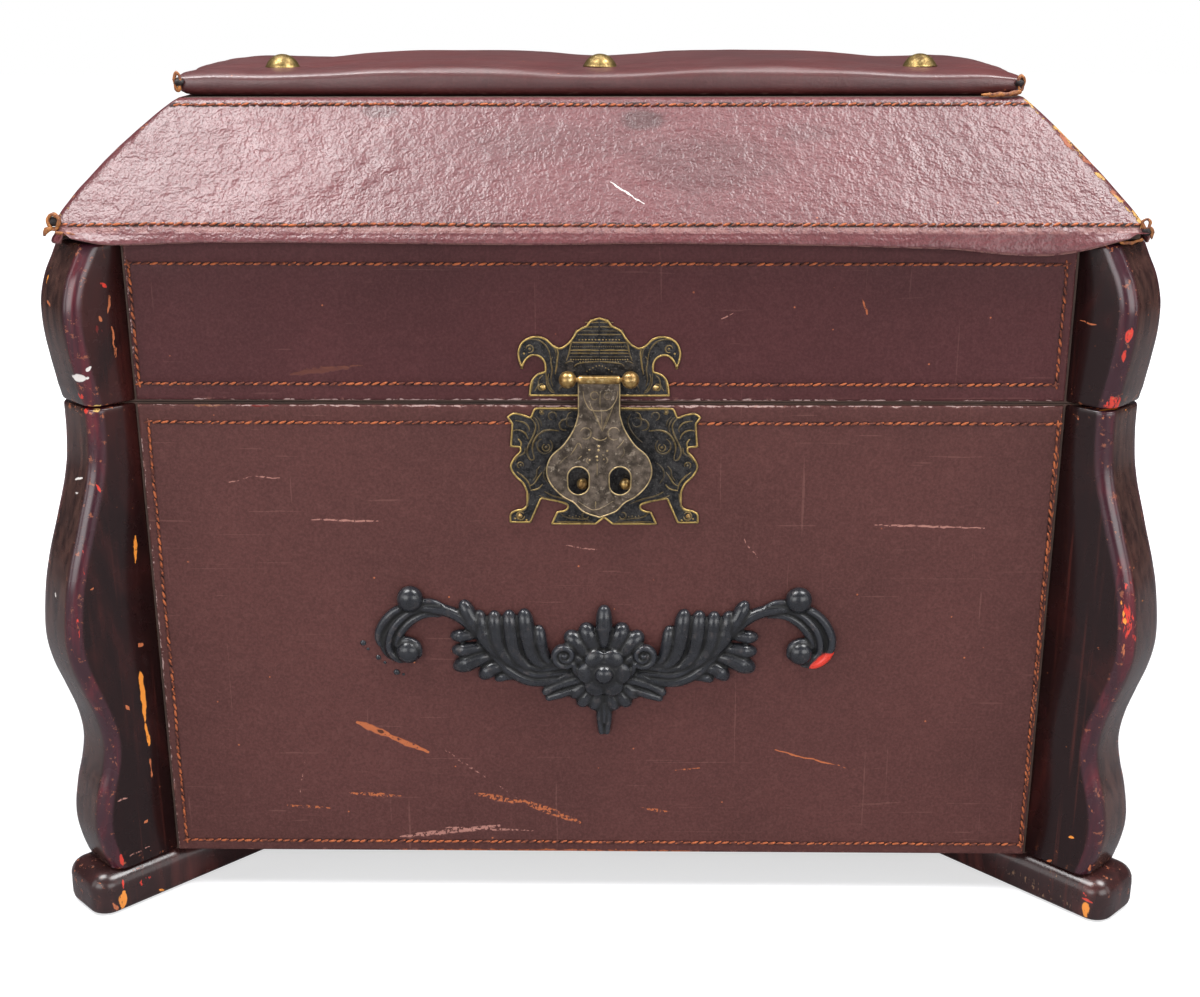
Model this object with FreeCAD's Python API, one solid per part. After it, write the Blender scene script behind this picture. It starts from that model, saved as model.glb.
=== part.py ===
import FreeCAD, Part
import math
import os

# Leather-covered trunk with a hipped, padded lid.
# Millimetres. X runs to the right, Y to the back, Z up. Everything is built from the front
# leather face (Y = 0) and the floor (Z = 0), and moved at the end so that the middle of the
# footprint lies on the origin.

# Body
half_panel = 255.0          # half of the front width seen between the two front posts
body_depth = 350.0          # front leather face to back leather face
foot_height = 25.0          # floor to the underside of the body
base_wall_height = 277.0    # underside of the body to the meeting line of lid and base
lid_wall_height = 90.0      # meeting line to the underside of the sloping lid boards
eave_lip = 5.5              # upright edge of the sloping boards
slope_rise = 62.9           # lower edge of the slopes to the flat top under the cushion
slope_run = 56.0            # how far the slopes draw in, seen from above
hem_overhang = 6.0          # slopes past the leather faces of the body
hem_drop = 7.5              # how far the leather hem hangs below the slopes
board_thickness = 12.0
slope_board_thickness = 9.0
floor_thickness = 9.0
top_board_thickness = 10.0
leather_thickness = 1.6
lining_thickness = 1.0
seam_gap = 0.4              # air between the lid boards and the base boards
trim_gap = 1.0              # leather kept back from posts, seam and corners
lining_drop = 1.5           # linings kept back from the seam
overrun = 20.0              # how far every cutting solid passes through
touch_gap = 0.3             # air between pieces that move past each other

# Corner posts: reach is measured outward along the diagonal of the corner
post_thickness = 34.0
post_round = 8.5
post_root_reach = -10.0     # the post runs this far in, where the box corner is cut away
post_seam_gap = 0.7
base_end_reach = 36.0
small_bulge_reach = 42.8
small_bulge_share = 0.1155  # heights on the lower posts as shares of the base wall
ankle_reach = 33.3
ankle_share = 0.2924
calf_reach = 41.0
calf_share = 0.4079
big_bulge_reach = 48.6
big_bulge_share = 0.5271
shoulder_reach = 36.5
shoulder_share = 0.7437
waist_reach = 23.0
waist_share = 0.9567
lid_seam_reach = 23.6
lid_flank_reach = 28.4
lid_flank_share = 0.3       # heights on the upper posts as shares of the lid wall
lid_bulge_reach = 30.4
lid_bulge_share = 0.5222
lid_neck_reach = 25.7
lid_neck_share = 0.7889
lid_end_reach = 17.0

# Feet
foot_reach = 50.5
foot_width = 39.0
foot_tail = 100.0           # how far a front foot runs back under the body
rear_foot_tail = 120.0
foot_corner_round = 12.0
foot_top_round = 10.0
foot_sole_round = 4.0

# Cushion
cushion_bottom_inset = 3.0
cushion_side_height = 5.5   # widest place of the side
cushion_roll_inset = 1.5
cushion_roll_height = 10.5
cushion_shoulder_inset = 36.0
cushion_shoulder_height = 17.6
cushion_crown_height = 18.9
tuft_seat_height = 14.0     # nail seats above the foot of the cushion
tuft_ball_radius = 60.0
tuft_columns = 3
tuft_spacing = 177.8
tuft_front_inset = 31.0
nail_head_radius = 9.5
nail_head_rise = 7.0
nail_shank_radius = 1.2
nail_shank_length = 24.0
hole_clearance = 0.15

# Hasp
plate_thickness = 1.6
rod_rise = 15.7             # rises and drops are measured from the meeting line of lid and base
rod_stand = 11.0            # rod axis in front of the leather face
rod_radius = 1.3
rod_running_fit = 0.1
knuckle_radius = 2.3
ball_radius = 4.7
ball_spacing = 33.6
stem_radius = 2.0
fixing_length = 7.0
hasp_centre = 0.4
hasp_plate_thickness = 1.4
hasp_half_width = 29.0
hasp_neck_drop = 3.8
hasp_tip_drop = 62.6
hasp_hole_spacing = 22.7
hasp_hole_drop = 41.2
hasp_hole_width = 12.0
hasp_hole_length = 16.2
lower_plate_centre = 2.9
lower_plate_half_width = 53.2
lower_plate_top_drop = 2.2
lower_plate_height = 67.4
upper_plate_half_width = 44.0
upper_plate_bottom_rise = 4.0
upper_plate_height = 43.6
staple_drop = 44.5
staple_spacing = 23.4
staple_ball_radius = 3.2
staple_stem_radius = 1.4
plate_nail_radius = 1.4
plate_nail_rise = 0.8
plate_nail_shank_radius = 0.7
upper_nail_spacing = 60.4
upper_nail_rise = 8.9
lower_nail_spacing = 93.4
lower_nail_drop = 64.4

# Carved ornament on the front
ornament_centre = 2.9
flower_share = 0.4318       # height of the flower as a share of the base wall
ornament_half_width = 131.0
ornament_half_height = 40.0
arm_radius = 4.0
scroll_ball_radius = 7.3
scroll_eye_radius = 5.4
flower_boss_radius = 6.4
flower_boss_rise = 9.5
petal_count = 6
petal_distance = 8.8
petal_radius = 6.4
palmette_root = 6.0
palmette_length = 25.0
palmette_girth = 4.4
side_leaf_length = 33.0
finial_length = 33.0
finial_girth = 3.6
fan_leaf_girth = 4.6
volute_offset = 21.9
volute_rise = 10.8
volute_radius = 4.6
volute_girth = 2.6

# Hinges
hinge_offset = 160.0        # hinge middle from the middle of the trunk
hinge_length = 62.0
hinge_leaf_height = 38.0
hinge_leaf_thickness = 1.5
hinge_axis_stand = 3.3      # pin axis behind the back leather face
hinge_knuckle_radius = 3.0
hinge_knuckle_count = 5
hinge_knuckle_gap = 0.3
hinge_leaf_relief = 0.8
pin_radius = 1.3
pin_fit = 0.05
pin_head_radius = 2.1
pin_head_thickness = 1.2
stop_lug_length = 4.2
stop_lug_thickness = 1.6
lid_opening = 100.0         # degrees
screw_head_radius = 3.1
screw_head_rise = 1.0
screw_shank_radius = 1.4
screw_length = 10.0
screw_column_share = 0.34
screw_row_share = 0.68

# Worked-out places
root_two = math.sqrt(2)
seam_height = foot_height + base_wall_height
eave_height = seam_height + lid_wall_height
hem_height = eave_height + eave_lip
top_height = hem_height + slope_rise
rod_height = seam_height + rod_rise
hasp_neck_height = seam_height - hasp_neck_drop
hasp_tip_height = seam_height - hasp_tip_drop
hasp_hole_height = seam_height - hasp_hole_drop
lower_plate_bottom = seam_height - lower_plate_top_drop - lower_plate_height
upper_plate_bottom = seam_height + upper_plate_bottom_rise
staple_height = seam_height - staple_drop
upper_nail_height = seam_height + upper_nail_rise
lower_nail_height = seam_height - lower_nail_drop
flower_height = foot_height + base_wall_height * flower_share
side_plane = half_panel + post_thickness / root_two
board_half = side_plane - leather_thickness
board_front = leather_thickness
board_back = body_depth - leather_thickness
inner_half = board_half - board_thickness
inner_front = board_front + board_thickness
inner_back = board_back - board_thickness
base_top = seam_height - seam_gap / 2
lid_bottom = seam_height + seam_gap / 2
slope_length = math.hypot(slope_rise, slope_run)
slope_width_share = slope_length / slope_rise
leather_inset = leather_thickness * slope_width_share
slope_board_inset = slope_board_thickness * slope_width_share
top_board_bottom = top_height - top_board_thickness
chord_x = half_panel + post_thickness / (2 * root_two)
chord_y = post_thickness / (2 * root_two)
front_reach = (foot_reach + foot_width / 2) / root_two - chord_y - foot_corner_round * (root_two - 1)
side_reach = (foot_reach + foot_width / 2) / root_two + chord_x - foot_corner_round * (root_two - 1)
hinge_axis_y = body_depth + hinge_axis_stand
lug_droop = math.radians(lid_opening - 90)
lug_rest = hinge_axis_stand - hinge_leaf_thickness - touch_gap
lug_length = hinge_knuckle_radius + stop_lug_length
rear_reach = hinge_axis_y + lug_length * math.cos(lug_droop) + lug_rest * math.sin(lug_droop)
cushion_half = side_plane + hem_overhang - slope_run
cushion_front = slope_run - hem_overhang
cushion_back = body_depth - cushion_front
tuft_height = top_height + tuft_seat_height
panel_edge = half_panel - leather_thickness - trim_gap


def vector(x, y, z):
    return FreeCAD.Vector(x, y, z)


def block(x_low, x_high, y_low, y_high, z_low, z_high):
    return Part.makeBox(x_high - x_low, y_high - y_low, z_high - z_low, vector(x_low, y_low, z_low))


def rod(start, direction, radius, length):
    return Part.makeCylinder(radius, length, start, direction)


def solid_between(points, direction):
    wire = Part.makePolygon(points + [points[0]])
    return Part.Face(wire).extrude(direction)


def one_solid(shape):
    return shape.removeSplitter().Solids[0]


def mirrored_x(shape):
    return shape.mirror(vector(0, 0, 0), vector(1, 0, 0))


def stroke_edges(strokes, place):
    edges = []
    for stroke in strokes:
        spots = [place(across, up) for across, up in stroke]
        if len(spots) == 2:
            edges.append(Part.makeLine(spots[0], spots[1]))
        else:
            curve = Part.BSplineCurve()
            curve.interpolate(spots)
            edges.append(curve.toShape())
    return edges


def outline_plate(strokes, place, thickness_vector):
    wire = Part.Wire(Part.__sortEdges__(stroke_edges(strokes, place)))
    return Part.Face(wire).extrude(thickness_vector)


def both_sides(strokes):
    turned = [[(-across, up) for across, up in reversed(stroke)] for stroke in reversed(strokes)]
    return strokes + turned


def hipped_block(low_inset, z_low, z_high):
    # Solid under the four slopes; low_inset draws its faces in from the outer leather face.
    def ring(height):
        run = (height - hem_height) * slope_run / slope_rise
        x_half = side_plane + hem_overhang - low_inset - run
        y_low = low_inset + run - hem_overhang
        y_high = body_depth - y_low
        return Part.makePolygon([
            vector(-x_half, y_low, height),
            vector(x_half, y_low, height),
            vector(x_half, y_high, height),
            vector(-x_half, y_high, height),
            vector(-x_half, y_low, height),
        ])
    return Part.makeLoft([ring(z_low), ring(z_high)], True, True)


# Boards of the box and the lid

def corner_cutter(z_low, z_high):
    # Body of the box with its two front corners taken off, as the posts see it.
    leg = board_thickness
    return solid_between([
        vector(-board_half, board_front + leg, z_low),
        vector(-board_half + leg, board_front, z_low),
        vector(board_half - leg, board_front, z_low),
        vector(board_half, board_front + leg, z_low),
        vector(board_half, board_back, z_low),
        vector(-board_half, board_back, z_low),
    ], vector(0, 0, z_high - z_low))


def wall_boards(prefix, z_low, z_high):
    body = corner_cutter(z_low, z_high)
    front = block(-board_half, board_half, board_front, inner_front, z_low, z_high).common(body)
    back = block(-board_half, board_half, inner_back, board_back, z_low, z_high)
    side = block(inner_half, board_half, inner_front, inner_back, z_low, z_high)
    return {
        prefix + "_front_board": front,
        prefix + "_back_board": back,
        prefix + "_right_board": side,
        prefix + "_left_board": mirrored_x(side),
    }


def wall_leathers(prefix, z_low, z_high):
    rear_post_front = body_depth - post_thickness
    side_front = chord_y * 2 + leather_thickness + trim_gap
    side = block(board_half, side_plane, side_front, rear_post_front - trim_gap, z_low, z_high)
    return {
        prefix + "_front_leather": block(-panel_edge, panel_edge, 0, board_front, z_low, z_high),
        prefix + "_back_leather": block(-board_half, board_half, board_back, body_depth, z_low, z_high),
        prefix + "_right_leather": side,
        prefix + "_left_leather": mirrored_x(side),
    }


def base_floor_board():
    return block(-inner_half, inner_half, inner_front, inner_back, foot_height, foot_height + floor_thickness)


def base_lining():
    floor_top = foot_height + floor_thickness
    outer = block(-inner_half, inner_half, inner_front, inner_back, floor_top, base_top - lining_drop)
    half = inner_half - lining_thickness
    inner = block(-half, half, inner_front + lining_thickness, inner_back - lining_thickness,
                  floor_top + lining_thickness, seam_height + overrun)
    return outer.cut(inner)


def lid_void(drawn_in, z_low):
    # The hollow of the lid: upright inside the walls, then drawn in under the slopes.
    half = inner_half - drawn_in
    straight = block(-half, half, inner_front + drawn_in, inner_back - drawn_in, z_low, top_board_bottom - drawn_in)
    slanted_inset = leather_inset + slope_board_inset + drawn_in * slope_width_share
    slanted = hipped_block(slanted_inset, z_low, top_board_bottom - drawn_in)
    return straight.common(slanted)


def slope_boards():
    outer = hipped_block(leather_inset, hem_height, top_board_bottom)
    lip_half = side_plane + hem_overhang - leather_inset
    lip_front = leather_inset - hem_overhang
    lip = block(-lip_half, lip_half, lip_front, body_depth - lip_front, eave_height, hem_height)
    ring = outer.fuse(lip).cut(lid_void(0, seam_height)).removeSplitter()
    far = side_plane + body_depth
    middle_y = body_depth / 2
    half_gap = side_plane - middle_y

    def wedge(turn_points):
        return solid_between([vector(x, y, seam_height) for x, y in turn_points], vector(0, 0, top_height))

    front = wedge([(-far, middle_y - far + half_gap), (far, middle_y - far + half_gap),
                   (half_gap, middle_y), (-half_gap, middle_y)])
    back = front.mirror(vector(0, middle_y, 0), vector(0, 1, 0))
    right = wedge([(far, middle_y - far + half_gap), (far, middle_y + far - half_gap), (half_gap, middle_y)])
    boards = {
        "lid_front_slope_board": one_solid(ring.common(front)),
        "lid_back_slope_board": one_solid(ring.common(back)),
        "lid_right_slope_board": one_solid(ring.common(right)),
    }
    boards["lid_left_slope_board"] = mirrored_x(boards["lid_right_slope_board"])
    return boards


def lid_top_board():
    return hipped_block(leather_inset, top_board_bottom, top_height)


def lid_lining():
    outer = lid_void(0, lid_bottom + lining_drop)
    inner = lid_void(lining_thickness, seam_height - overrun)
    return outer.cut(inner)


def slope_cover():
    # One leather cover over the four slopes with its hem hanging past the eave.
    skin = hipped_block(0, hem_height, top_height).cut(hipped_block(leather_inset, hem_height, top_height))
    half = side_plane + hem_overhang
    z_low = hem_height - hem_drop
    band = block(-half, half, -hem_overhang, body_depth + hem_overhang, z_low, hem_height)
    inner_half_width = half - leather_inset
    inner_y = leather_inset - hem_overhang
    hollow = block(-inner_half_width, inner_half_width, inner_y, body_depth - inner_y, z_low, hem_height)
    return one_solid(skin.fuse(band.cut(hollow)))


# Corner posts and feet

def reach_profile(stations, reach_share, inner_reach, depth, place):
    # Serpentine outer edge through the stations, closed by a straight inner edge.
    z_low = stations[0][1]
    z_high = stations[-1][1]
    curve = Part.BSplineCurve()
    curve.interpolate([place(reach * reach_share, height) for reach, height in stations])
    first = place(stations[0][0] * reach_share, z_low)
    last = place(stations[-1][0] * reach_share, z_high)
    inner_low = place(inner_reach, z_low)
    inner_high = place(inner_reach, z_high)
    wire = Part.Wire([
        Part.makeLine(inner_low, first),
        curve.toShape(),
        Part.makeLine(last, inner_high),
        Part.makeLine(inner_high, inner_low),
    ])
    return Part.Face(wire).extrude(depth)


def round_outer_edges(post, radius, is_outer):
    return post.makeFillet(radius, [edge for edge in post.Edges if is_outer(edge)])


def lower_stations():
    turns = [
        (small_bulge_reach, small_bulge_share),
        (ankle_reach, ankle_share),
        (calf_reach, calf_share),
        (big_bulge_reach, big_bulge_share),
        (shoulder_reach, shoulder_share),
        (waist_reach, waist_share),
    ]
    between = [(reach, foot_height + base_wall_height * share) for reach, share in turns]
    return [(base_end_reach, foot_height)] + between + [(waist_reach, seam_height - post_seam_gap)]


def upper_stations():
    turns = [
        (lid_flank_reach, lid_flank_share),
        (lid_bulge_reach, lid_bulge_share),
        (lid_neck_reach, lid_neck_share),
    ]
    between = [(reach, seam_height + lid_wall_height * share) for reach, share in turns]
    top = hem_height - hem_drop - touch_gap
    return [(lid_seam_reach, seam_height + post_seam_gap)] + between + [(lid_end_reach, top)]


def is_upright_curve(edge):
    return edge.Curve.TypeId == "Part::GeomBSplineCurve" and edge.BoundBox.ZLength > board_thickness


def to_corner(shape):
    # From the post's own frame (X outward) to the front left corner.
    shape.rotate(vector(0, 0, 0), vector(0, 0, 1), 225)
    shape.translate(vector(-chord_x, chord_y, 0))
    return shape


def front_post(stations):
    half = post_thickness / 2
    post = reach_profile(stations, 1, post_root_reach, vector(0, post_thickness, 0),
                         lambda reach, height: vector(reach, -half, height))
    post = round_outer_edges(post, post_round, is_upright_curve)
    z_low = stations[0][1] - overrun
    z_high = stations[-1][1] + overrun
    return one_solid(to_corner(post).cut(corner_cutter(z_low, z_high)))


def rear_post(stations):
    back = body_depth
    front = back - post_thickness
    post = reach_profile(stations, 1 / root_two, -leather_thickness, vector(0, post_thickness, 0),
                         lambda reach, height: vector(-side_plane - reach, front, height))
    return round_outer_edges(post, post_round / root_two, is_upright_curve)


def rounded_plank(x_low, x_high, y_low, y_high, corner_edges):
    plank = block(x_low, x_high, y_low, y_high, 0, foot_height)
    corners = [edge for edge in plank.Edges if corner_edges(edge)]
    plank = plank.makeFillet(foot_corner_round, corners)
    tail = x_low + overrun
    rims = [edge for edge in plank.Edges if edge.BoundBox.ZLength < touch_gap and edge.BoundBox.XMax > tail]
    tops = [edge for edge in rims if edge.BoundBox.ZMin > foot_height / 2]
    plank = plank.makeFillet(foot_top_round, tops)
    rims = [edge for edge in plank.Edges if edge.BoundBox.ZMax < touch_gap and edge.BoundBox.XMax > tail]
    return plank.makeFillet(foot_sole_round, rims)


def front_foot():
    half = foot_width / 2
    plank = rounded_plank(-foot_tail, foot_reach, -half, half,
                          lambda edge: edge.BoundBox.ZLength > foot_height / 2 and edge.BoundBox.XMin > 0)
    return to_corner(plank)


def rear_foot():
    # Square to the back, so that nothing stands out behind the trunk.
    plank = rounded_plank(side_plane - rear_foot_tail, side_reach, body_depth - foot_width, body_depth,
                          lambda edge: edge.BoundBox.ZLength > foot_height / 2
                          and edge.BoundBox.XMin > side_plane)
    return mirrored_x(plank)


# Cushion and its dome nails

def cushion_profile(half_width, place, depth):
    # Drawn in at the foot, full at the side, turned over at the roll and crowned on top.
    foot = half_width - cushion_bottom_inset
    roll = half_width - cushion_roll_inset
    shoulder = half_width - cushion_shoulder_inset
    side_z = top_height + cushion_side_height
    roll_z = top_height + cushion_roll_height
    shoulder_z = top_height + cushion_shoulder_height
    crown_z = top_height + cushion_crown_height
    turn_width = roll - shoulder
    turn_rise = shoulder_z - roll_z
    turn_radius = (turn_width ** 2 + turn_rise ** 2) / (2 * turn_rise)
    half_turn = math.asin(turn_width / turn_radius) / 2
    turn_x = shoulder + turn_radius * math.sin(half_turn)
    turn_z = shoulder_z - turn_radius * (1 - math.cos(half_turn))
    edges = [Part.makeLine(place(-foot, top_height), place(foot, top_height))]
    for side in (1, -1):
        edges.append(Part.Arc(place(side * foot, top_height), place(side * half_width, side_z),
                              place(side * roll, roll_z)).toShape())
        edges.append(Part.Arc(place(side * roll, roll_z), place(side * turn_x, turn_z),
                              place(side * shoulder, shoulder_z)).toShape())
    edges.append(Part.Arc(place(shoulder, shoulder_z), place(0, crown_z), place(-shoulder, shoulder_z)).toShape())
    return Part.Face(Part.Wire(Part.__sortEdges__(edges))).extrude(depth)


def tuft_spots():
    # One row of nails behind the front edge, even about the middle.
    y = cushion_front + tuft_front_inset
    return [((column - (tuft_columns - 1) / 2) * tuft_spacing, y) for column in range(tuft_columns)]


def lid_cushion():
    middle_y = body_depth / 2
    depth_half = middle_y - cushion_front
    across = cushion_profile(cushion_half, lambda side, up: vector(side, cushion_front - overrun, up),
                             vector(0, 2 * depth_half + 2 * overrun, 0))
    along = cushion_profile(depth_half, lambda side, up: vector(-cushion_half - overrun, middle_y + side, up),
                            vector(2 * cushion_half + 2 * overrun, 0, 0))
    cushion = across.common(along)
    for x, y in tuft_spots():
        dimple = Part.makeSphere(tuft_ball_radius, vector(x, y, tuft_height + tuft_ball_radius))
        seat = rod(vector(x, y, tuft_height), vector(0, 0, 1), nail_head_radius + touch_gap, overrun)
        hole = rod(vector(x, y, top_height - overrun), vector(0, 0, 1), nail_shank_radius + hole_clearance,
                   2 * overrun)
        cushion = cushion.cut(dimple).cut(seat).cut(hole)
    return cushion.Solids[0]


def dome(base, direction, radius, rise):
    # Cap of a sphere standing on a flat base.
    ball = (radius ** 2 + rise ** 2) / (2 * rise)
    sphere = Part.makeSphere(ball, base + direction * (rise - ball))
    keep = Part.makeCylinder(radius + overrun, ball + overrun, base, direction)
    return sphere.common(keep)


def nail(spot, direction, head_radius, head_rise, shank_radius, shank_length):
    head = dome(spot, direction, head_radius, head_rise)
    shank = Part.makeCylinder(shank_radius, shank_length + head_rise / 2, spot + direction * (head_rise / 2),
                              direction * -1)
    return one_solid(head.fuse(shank))


def cushion_nails():
    return [nail(vector(x, y, tuft_height), vector(0, 0, 1), nail_head_radius, nail_head_rise,
                 nail_shank_radius, nail_shank_length) for x, y in tuft_spots()]


def cushion_nail_holes():
    depth = nail_shank_length + hole_clearance
    return [rod(vector(x, y, tuft_height - depth), vector(0, 0, 1), nail_shank_radius + hole_clearance, depth)
            for x, y in tuft_spots()]


# Hasp: two pierced plates, a rod with ball ends, a swinging plate and two ball-ended posts

forward = vector(0, -1, 0)

upper_plate_shares = [
    [(0, 0), (0.87, 0)],
    [(0.87, 0), (0.86, 0.12), (0.83, 0.22), (0.76, 0.29), (0.67, 0.32)],
    [(0.67, 0.32), (0.68, 0.43), (0.74, 0.5), (0.83, 0.51), (0.9, 0.45), (0.95, 0.34)],
    [(0.95, 0.34), (0.99, 0.45), (1.0, 0.57), (0.94, 0.7), (0.8, 0.765), (0.66, 0.74), (0.56, 0.65)],
    [(0.56, 0.65), (0.49, 0.62), (0.42, 0.65), (0.35, 0.72), (0.28, 0.83)],
    [(0.28, 0.83), (0.22, 0.87), (0.16, 0.895)],
    [(0.16, 0.895), (0.11, 0.96), (0, 1)],
]

lower_plate_shares = [
    [(0, 0.055), (0.085, 0)],
    [(0.085, 0), (0.56, 0)],
    [(0.56, 0), (0.495, 0.115)],
    [(0.495, 0.115), (0.42, 0.125), (0.385, 0.15), (0.4, 0.175), (0.48, 0.195)],
    [(0.48, 0.195), (0.652, 0.222)],
    [(0.652, 0.222), (0.765, 0.013)],
    [(0.765, 0.013), (0.99, 0.013)],
    [(0.99, 0.013), (0.985, 0.09), (0.93, 0.125), (0.85, 0.14), (0.81, 0.17)],
    [(0.81, 0.17), (0.81, 0.285)],
    [(0.81, 0.285), (0.85, 0.355), (0.93, 0.42), (0.975, 0.5), (0.93, 0.58), (0.87, 0.63)],
    [(0.87, 0.63), (0.87, 0.66)],
    [(0.87, 0.66), (0.97, 0.665)],
    [(0.97, 0.665), (0.95, 0.86)],
    [(0.95, 0.86), (1.0, 0.92)],
    [(1.0, 0.92), (0.93, 0.955), (0.84, 0.945), (0.755, 0.92)],
    [(0.755, 0.92), (0.72, 0.985), (0.68, 1)],
    [(0.68, 1), (0, 1)],
]

hasp_shares = [
    [(0, 0), (0.3, 0.055), (0.49, 0.148), (0.7, 0.208), (0.92, 0.327), (1.0, 0.46),
     (0.91, 0.6), (0.67, 0.715), (0.48, 0.862), (0.393, 1)],
]

def plate_place(centre, half_width, bottom, height, y):
    return lambda across, up: vector(centre + across * half_width, y, bottom + up * height)


def hasp_upper_plate():
    place = plate_place(hasp_centre, upper_plate_half_width, upper_plate_bottom,
                        upper_plate_height, -plate_thickness)
    return outline_plate(both_sides(upper_plate_shares), place, vector(0, plate_thickness, 0))


def hasp_lower_plate():
    place = plate_place(lower_plate_centre, lower_plate_half_width, lower_plate_bottom,
                        lower_plate_height, -plate_thickness)
    return outline_plate(both_sides(lower_plate_shares), place, vector(0, plate_thickness, 0))


def rod_spot(offset):
    return vector(hasp_centre + offset, -rod_stand, rod_height)


def hasp_rod():
    # Rod with a ball at each end; a stem behind each ball carries it on the upper plate.
    half = ball_spacing / 2
    shape = rod(rod_spot(-half), vector(1, 0, 0), rod_radius, ball_spacing)
    for side in (-1, 1):
        ball = Part.makeSphere(ball_radius, rod_spot(side * half))
        stem = rod(rod_spot(side * half), vector(0, 1, 0), stem_radius, rod_stand + fixing_length)
        shape = shape.fuse(ball).fuse(stem)
    return one_solid(shape)


def hasp_plate():
    rear = -rod_stand + knuckle_radius
    front = rear - hasp_plate_thickness
    place = plate_place(hasp_centre, hasp_half_width, hasp_tip_height,
                        hasp_neck_height - hasp_tip_height, front)
    thick = vector(0, hasp_plate_thickness, 0)
    neck_share = hasp_shares[0][-1][0]
    strokes = both_sides(hasp_shares) + [[(-neck_share, 1), (neck_share, 1)]]
    blade = outline_plate(strokes, place, thick)
    neck_half = neck_share * hasp_half_width
    neck = block(hasp_centre - neck_half, hasp_centre + neck_half, front, rear, hasp_neck_height, rod_height)
    knuckle = rod(rod_spot(-neck_half), vector(1, 0, 0), knuckle_radius, 2 * neck_half)
    bore = rod(rod_spot(-ball_spacing / 2), vector(1, 0, 0), rod_radius + rod_running_fit, ball_spacing)
    shape = blade.fuse(neck).fuse(knuckle).cut(bore)
    for side in (-1, 1):
        x = hasp_centre + side * hasp_hole_spacing / 2
        shape = shape.cut(oval_hole(x, hasp_hole_height, front))
    return one_solid(shape)


def oval_hole(x, z, y):
    radius = hasp_hole_width / 2
    straight = hasp_hole_length - hasp_hole_width
    through = vector(0, 1, 0)
    hole = block(x - radius, x + radius, y - overrun, y + overrun, z - straight / 2, z + straight / 2)
    for side in (-1, 1):
        start = vector(x, y - overrun, z + side * straight / 2)
        hole = hole.fuse(Part.makeCylinder(radius, 2 * overrun, start, through))
    return hole


def staple_spots():
    return [lower_plate_centre + side * staple_spacing / 2 for side in (-1, 1)]


def hasp_staples():
    rear_of_hasp = -rod_stand + knuckle_radius
    ball_y = rear_of_hasp + touch_gap + staple_ball_radius
    staples = []
    for x in staple_spots():
        ball = Part.makeSphere(staple_ball_radius, vector(x, ball_y, staple_height))
        stem = rod(vector(x, ball_y, staple_height), vector(0, 1, 0), staple_stem_radius, fixing_length - ball_y)
        staples.append(one_solid(ball.fuse(stem)))
    return staples


def staple_holes():
    return [rod(vector(x, -overrun, staple_height), vector(0, 1, 0), staple_stem_radius + hole_clearance,
                overrun + fixing_length + hole_clearance) for x in staple_spots()]


def rod_holes():
    return [rod(rod_spot(side * ball_spacing / 2), vector(0, 1, 0), stem_radius + hole_clearance,
                rod_stand + fixing_length + hole_clearance) for side in (-1, 1)]


def plate_nail_spots(centre, spacing, height):
    return [vector(centre + side * spacing / 2, -plate_thickness, height) for side in (-1, 1)]


def plate_nails(spots):
    return [nail(spot, forward, plate_nail_radius, plate_nail_rise, plate_nail_shank_radius,
                 plate_thickness + fixing_length) for spot in spots]


def plate_nail_holes(spots):
    depth = plate_thickness + fixing_length + hole_clearance
    return [rod(spot, forward * -1, plate_nail_shank_radius + hole_clearance, depth) for spot in spots]


upper_nail_spots = plate_nail_spots(hasp_centre, upper_nail_spacing, upper_nail_height)
lower_nail_spots = plate_nail_spots(lower_plate_centre, lower_nail_spacing, lower_nail_height)


# Hinges

def hinge_bands():
    # Start and length of each knuckle along the pin.
    pitch = hinge_length / hinge_knuckle_count
    return [(-hinge_length / 2 + index * pitch + hinge_knuckle_gap / 2, pitch - hinge_knuckle_gap)
            for index in range(hinge_knuckle_count)]


def hinge_leaf(centre_x, side, parity):
    # side is 1 for the leaf above the seam and -1 for the one below.
    near = seam_height + side * (hinge_knuckle_radius + hinge_leaf_relief)
    far = seam_height + side * hinge_leaf_height
    low, high = sorted((near, far))
    leaf = block(centre_x - hinge_length / 2, centre_x + hinge_length / 2, body_depth,
                 body_depth + hinge_leaf_thickness, low, high)
    for index, (start, length) in enumerate(hinge_bands()):
        if index % 2 == parity:
            x = centre_x + start
            tab_low, tab_high = sorted((seam_height, near))
            tab = block(x, x + length, body_depth, body_depth + hinge_leaf_thickness, tab_low, tab_high)
            centre = vector(x, hinge_axis_y, seam_height)
            knuckle = rod(centre, vector(1, 0, 0), hinge_knuckle_radius, length)
            leaf = leaf.fuse(tab).fuse(knuckle)
            if side < 0:
                leaf = leaf.fuse(stop_lug(x, length))
    bore = rod(vector(centre_x - hinge_length, hinge_axis_y, seam_height), vector(1, 0, 0),
               pin_radius + pin_fit, 2 * hinge_length)
    leaf = leaf.cut(bore)
    for spot in hinge_screw_spots(centre_x, side):
        leaf = leaf.cut(rod(spot, forward, screw_shank_radius + hole_clearance, hinge_leaf_thickness))
    return one_solid(leaf)


def stop_lug(x, length):
    # Lug behind the knuckle that the opened lid leaf comes to rest on.
    top = seam_height + lug_rest
    lug = block(x, x + length, hinge_axis_y, hinge_axis_y + lug_length, top - stop_lug_thickness, top)
    lug.rotate(vector(x, hinge_axis_y, seam_height), vector(1, 0, 0), 90 - lid_opening)
    return lug


def hinge_screw_spots(centre_x, side):
    z = seam_height + side * hinge_leaf_height * screw_row_share
    y = body_depth + hinge_leaf_thickness
    offset = hinge_length * screw_column_share
    return [vector(centre_x + shift, y, z) for shift in (-offset, 0, offset)]


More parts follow.
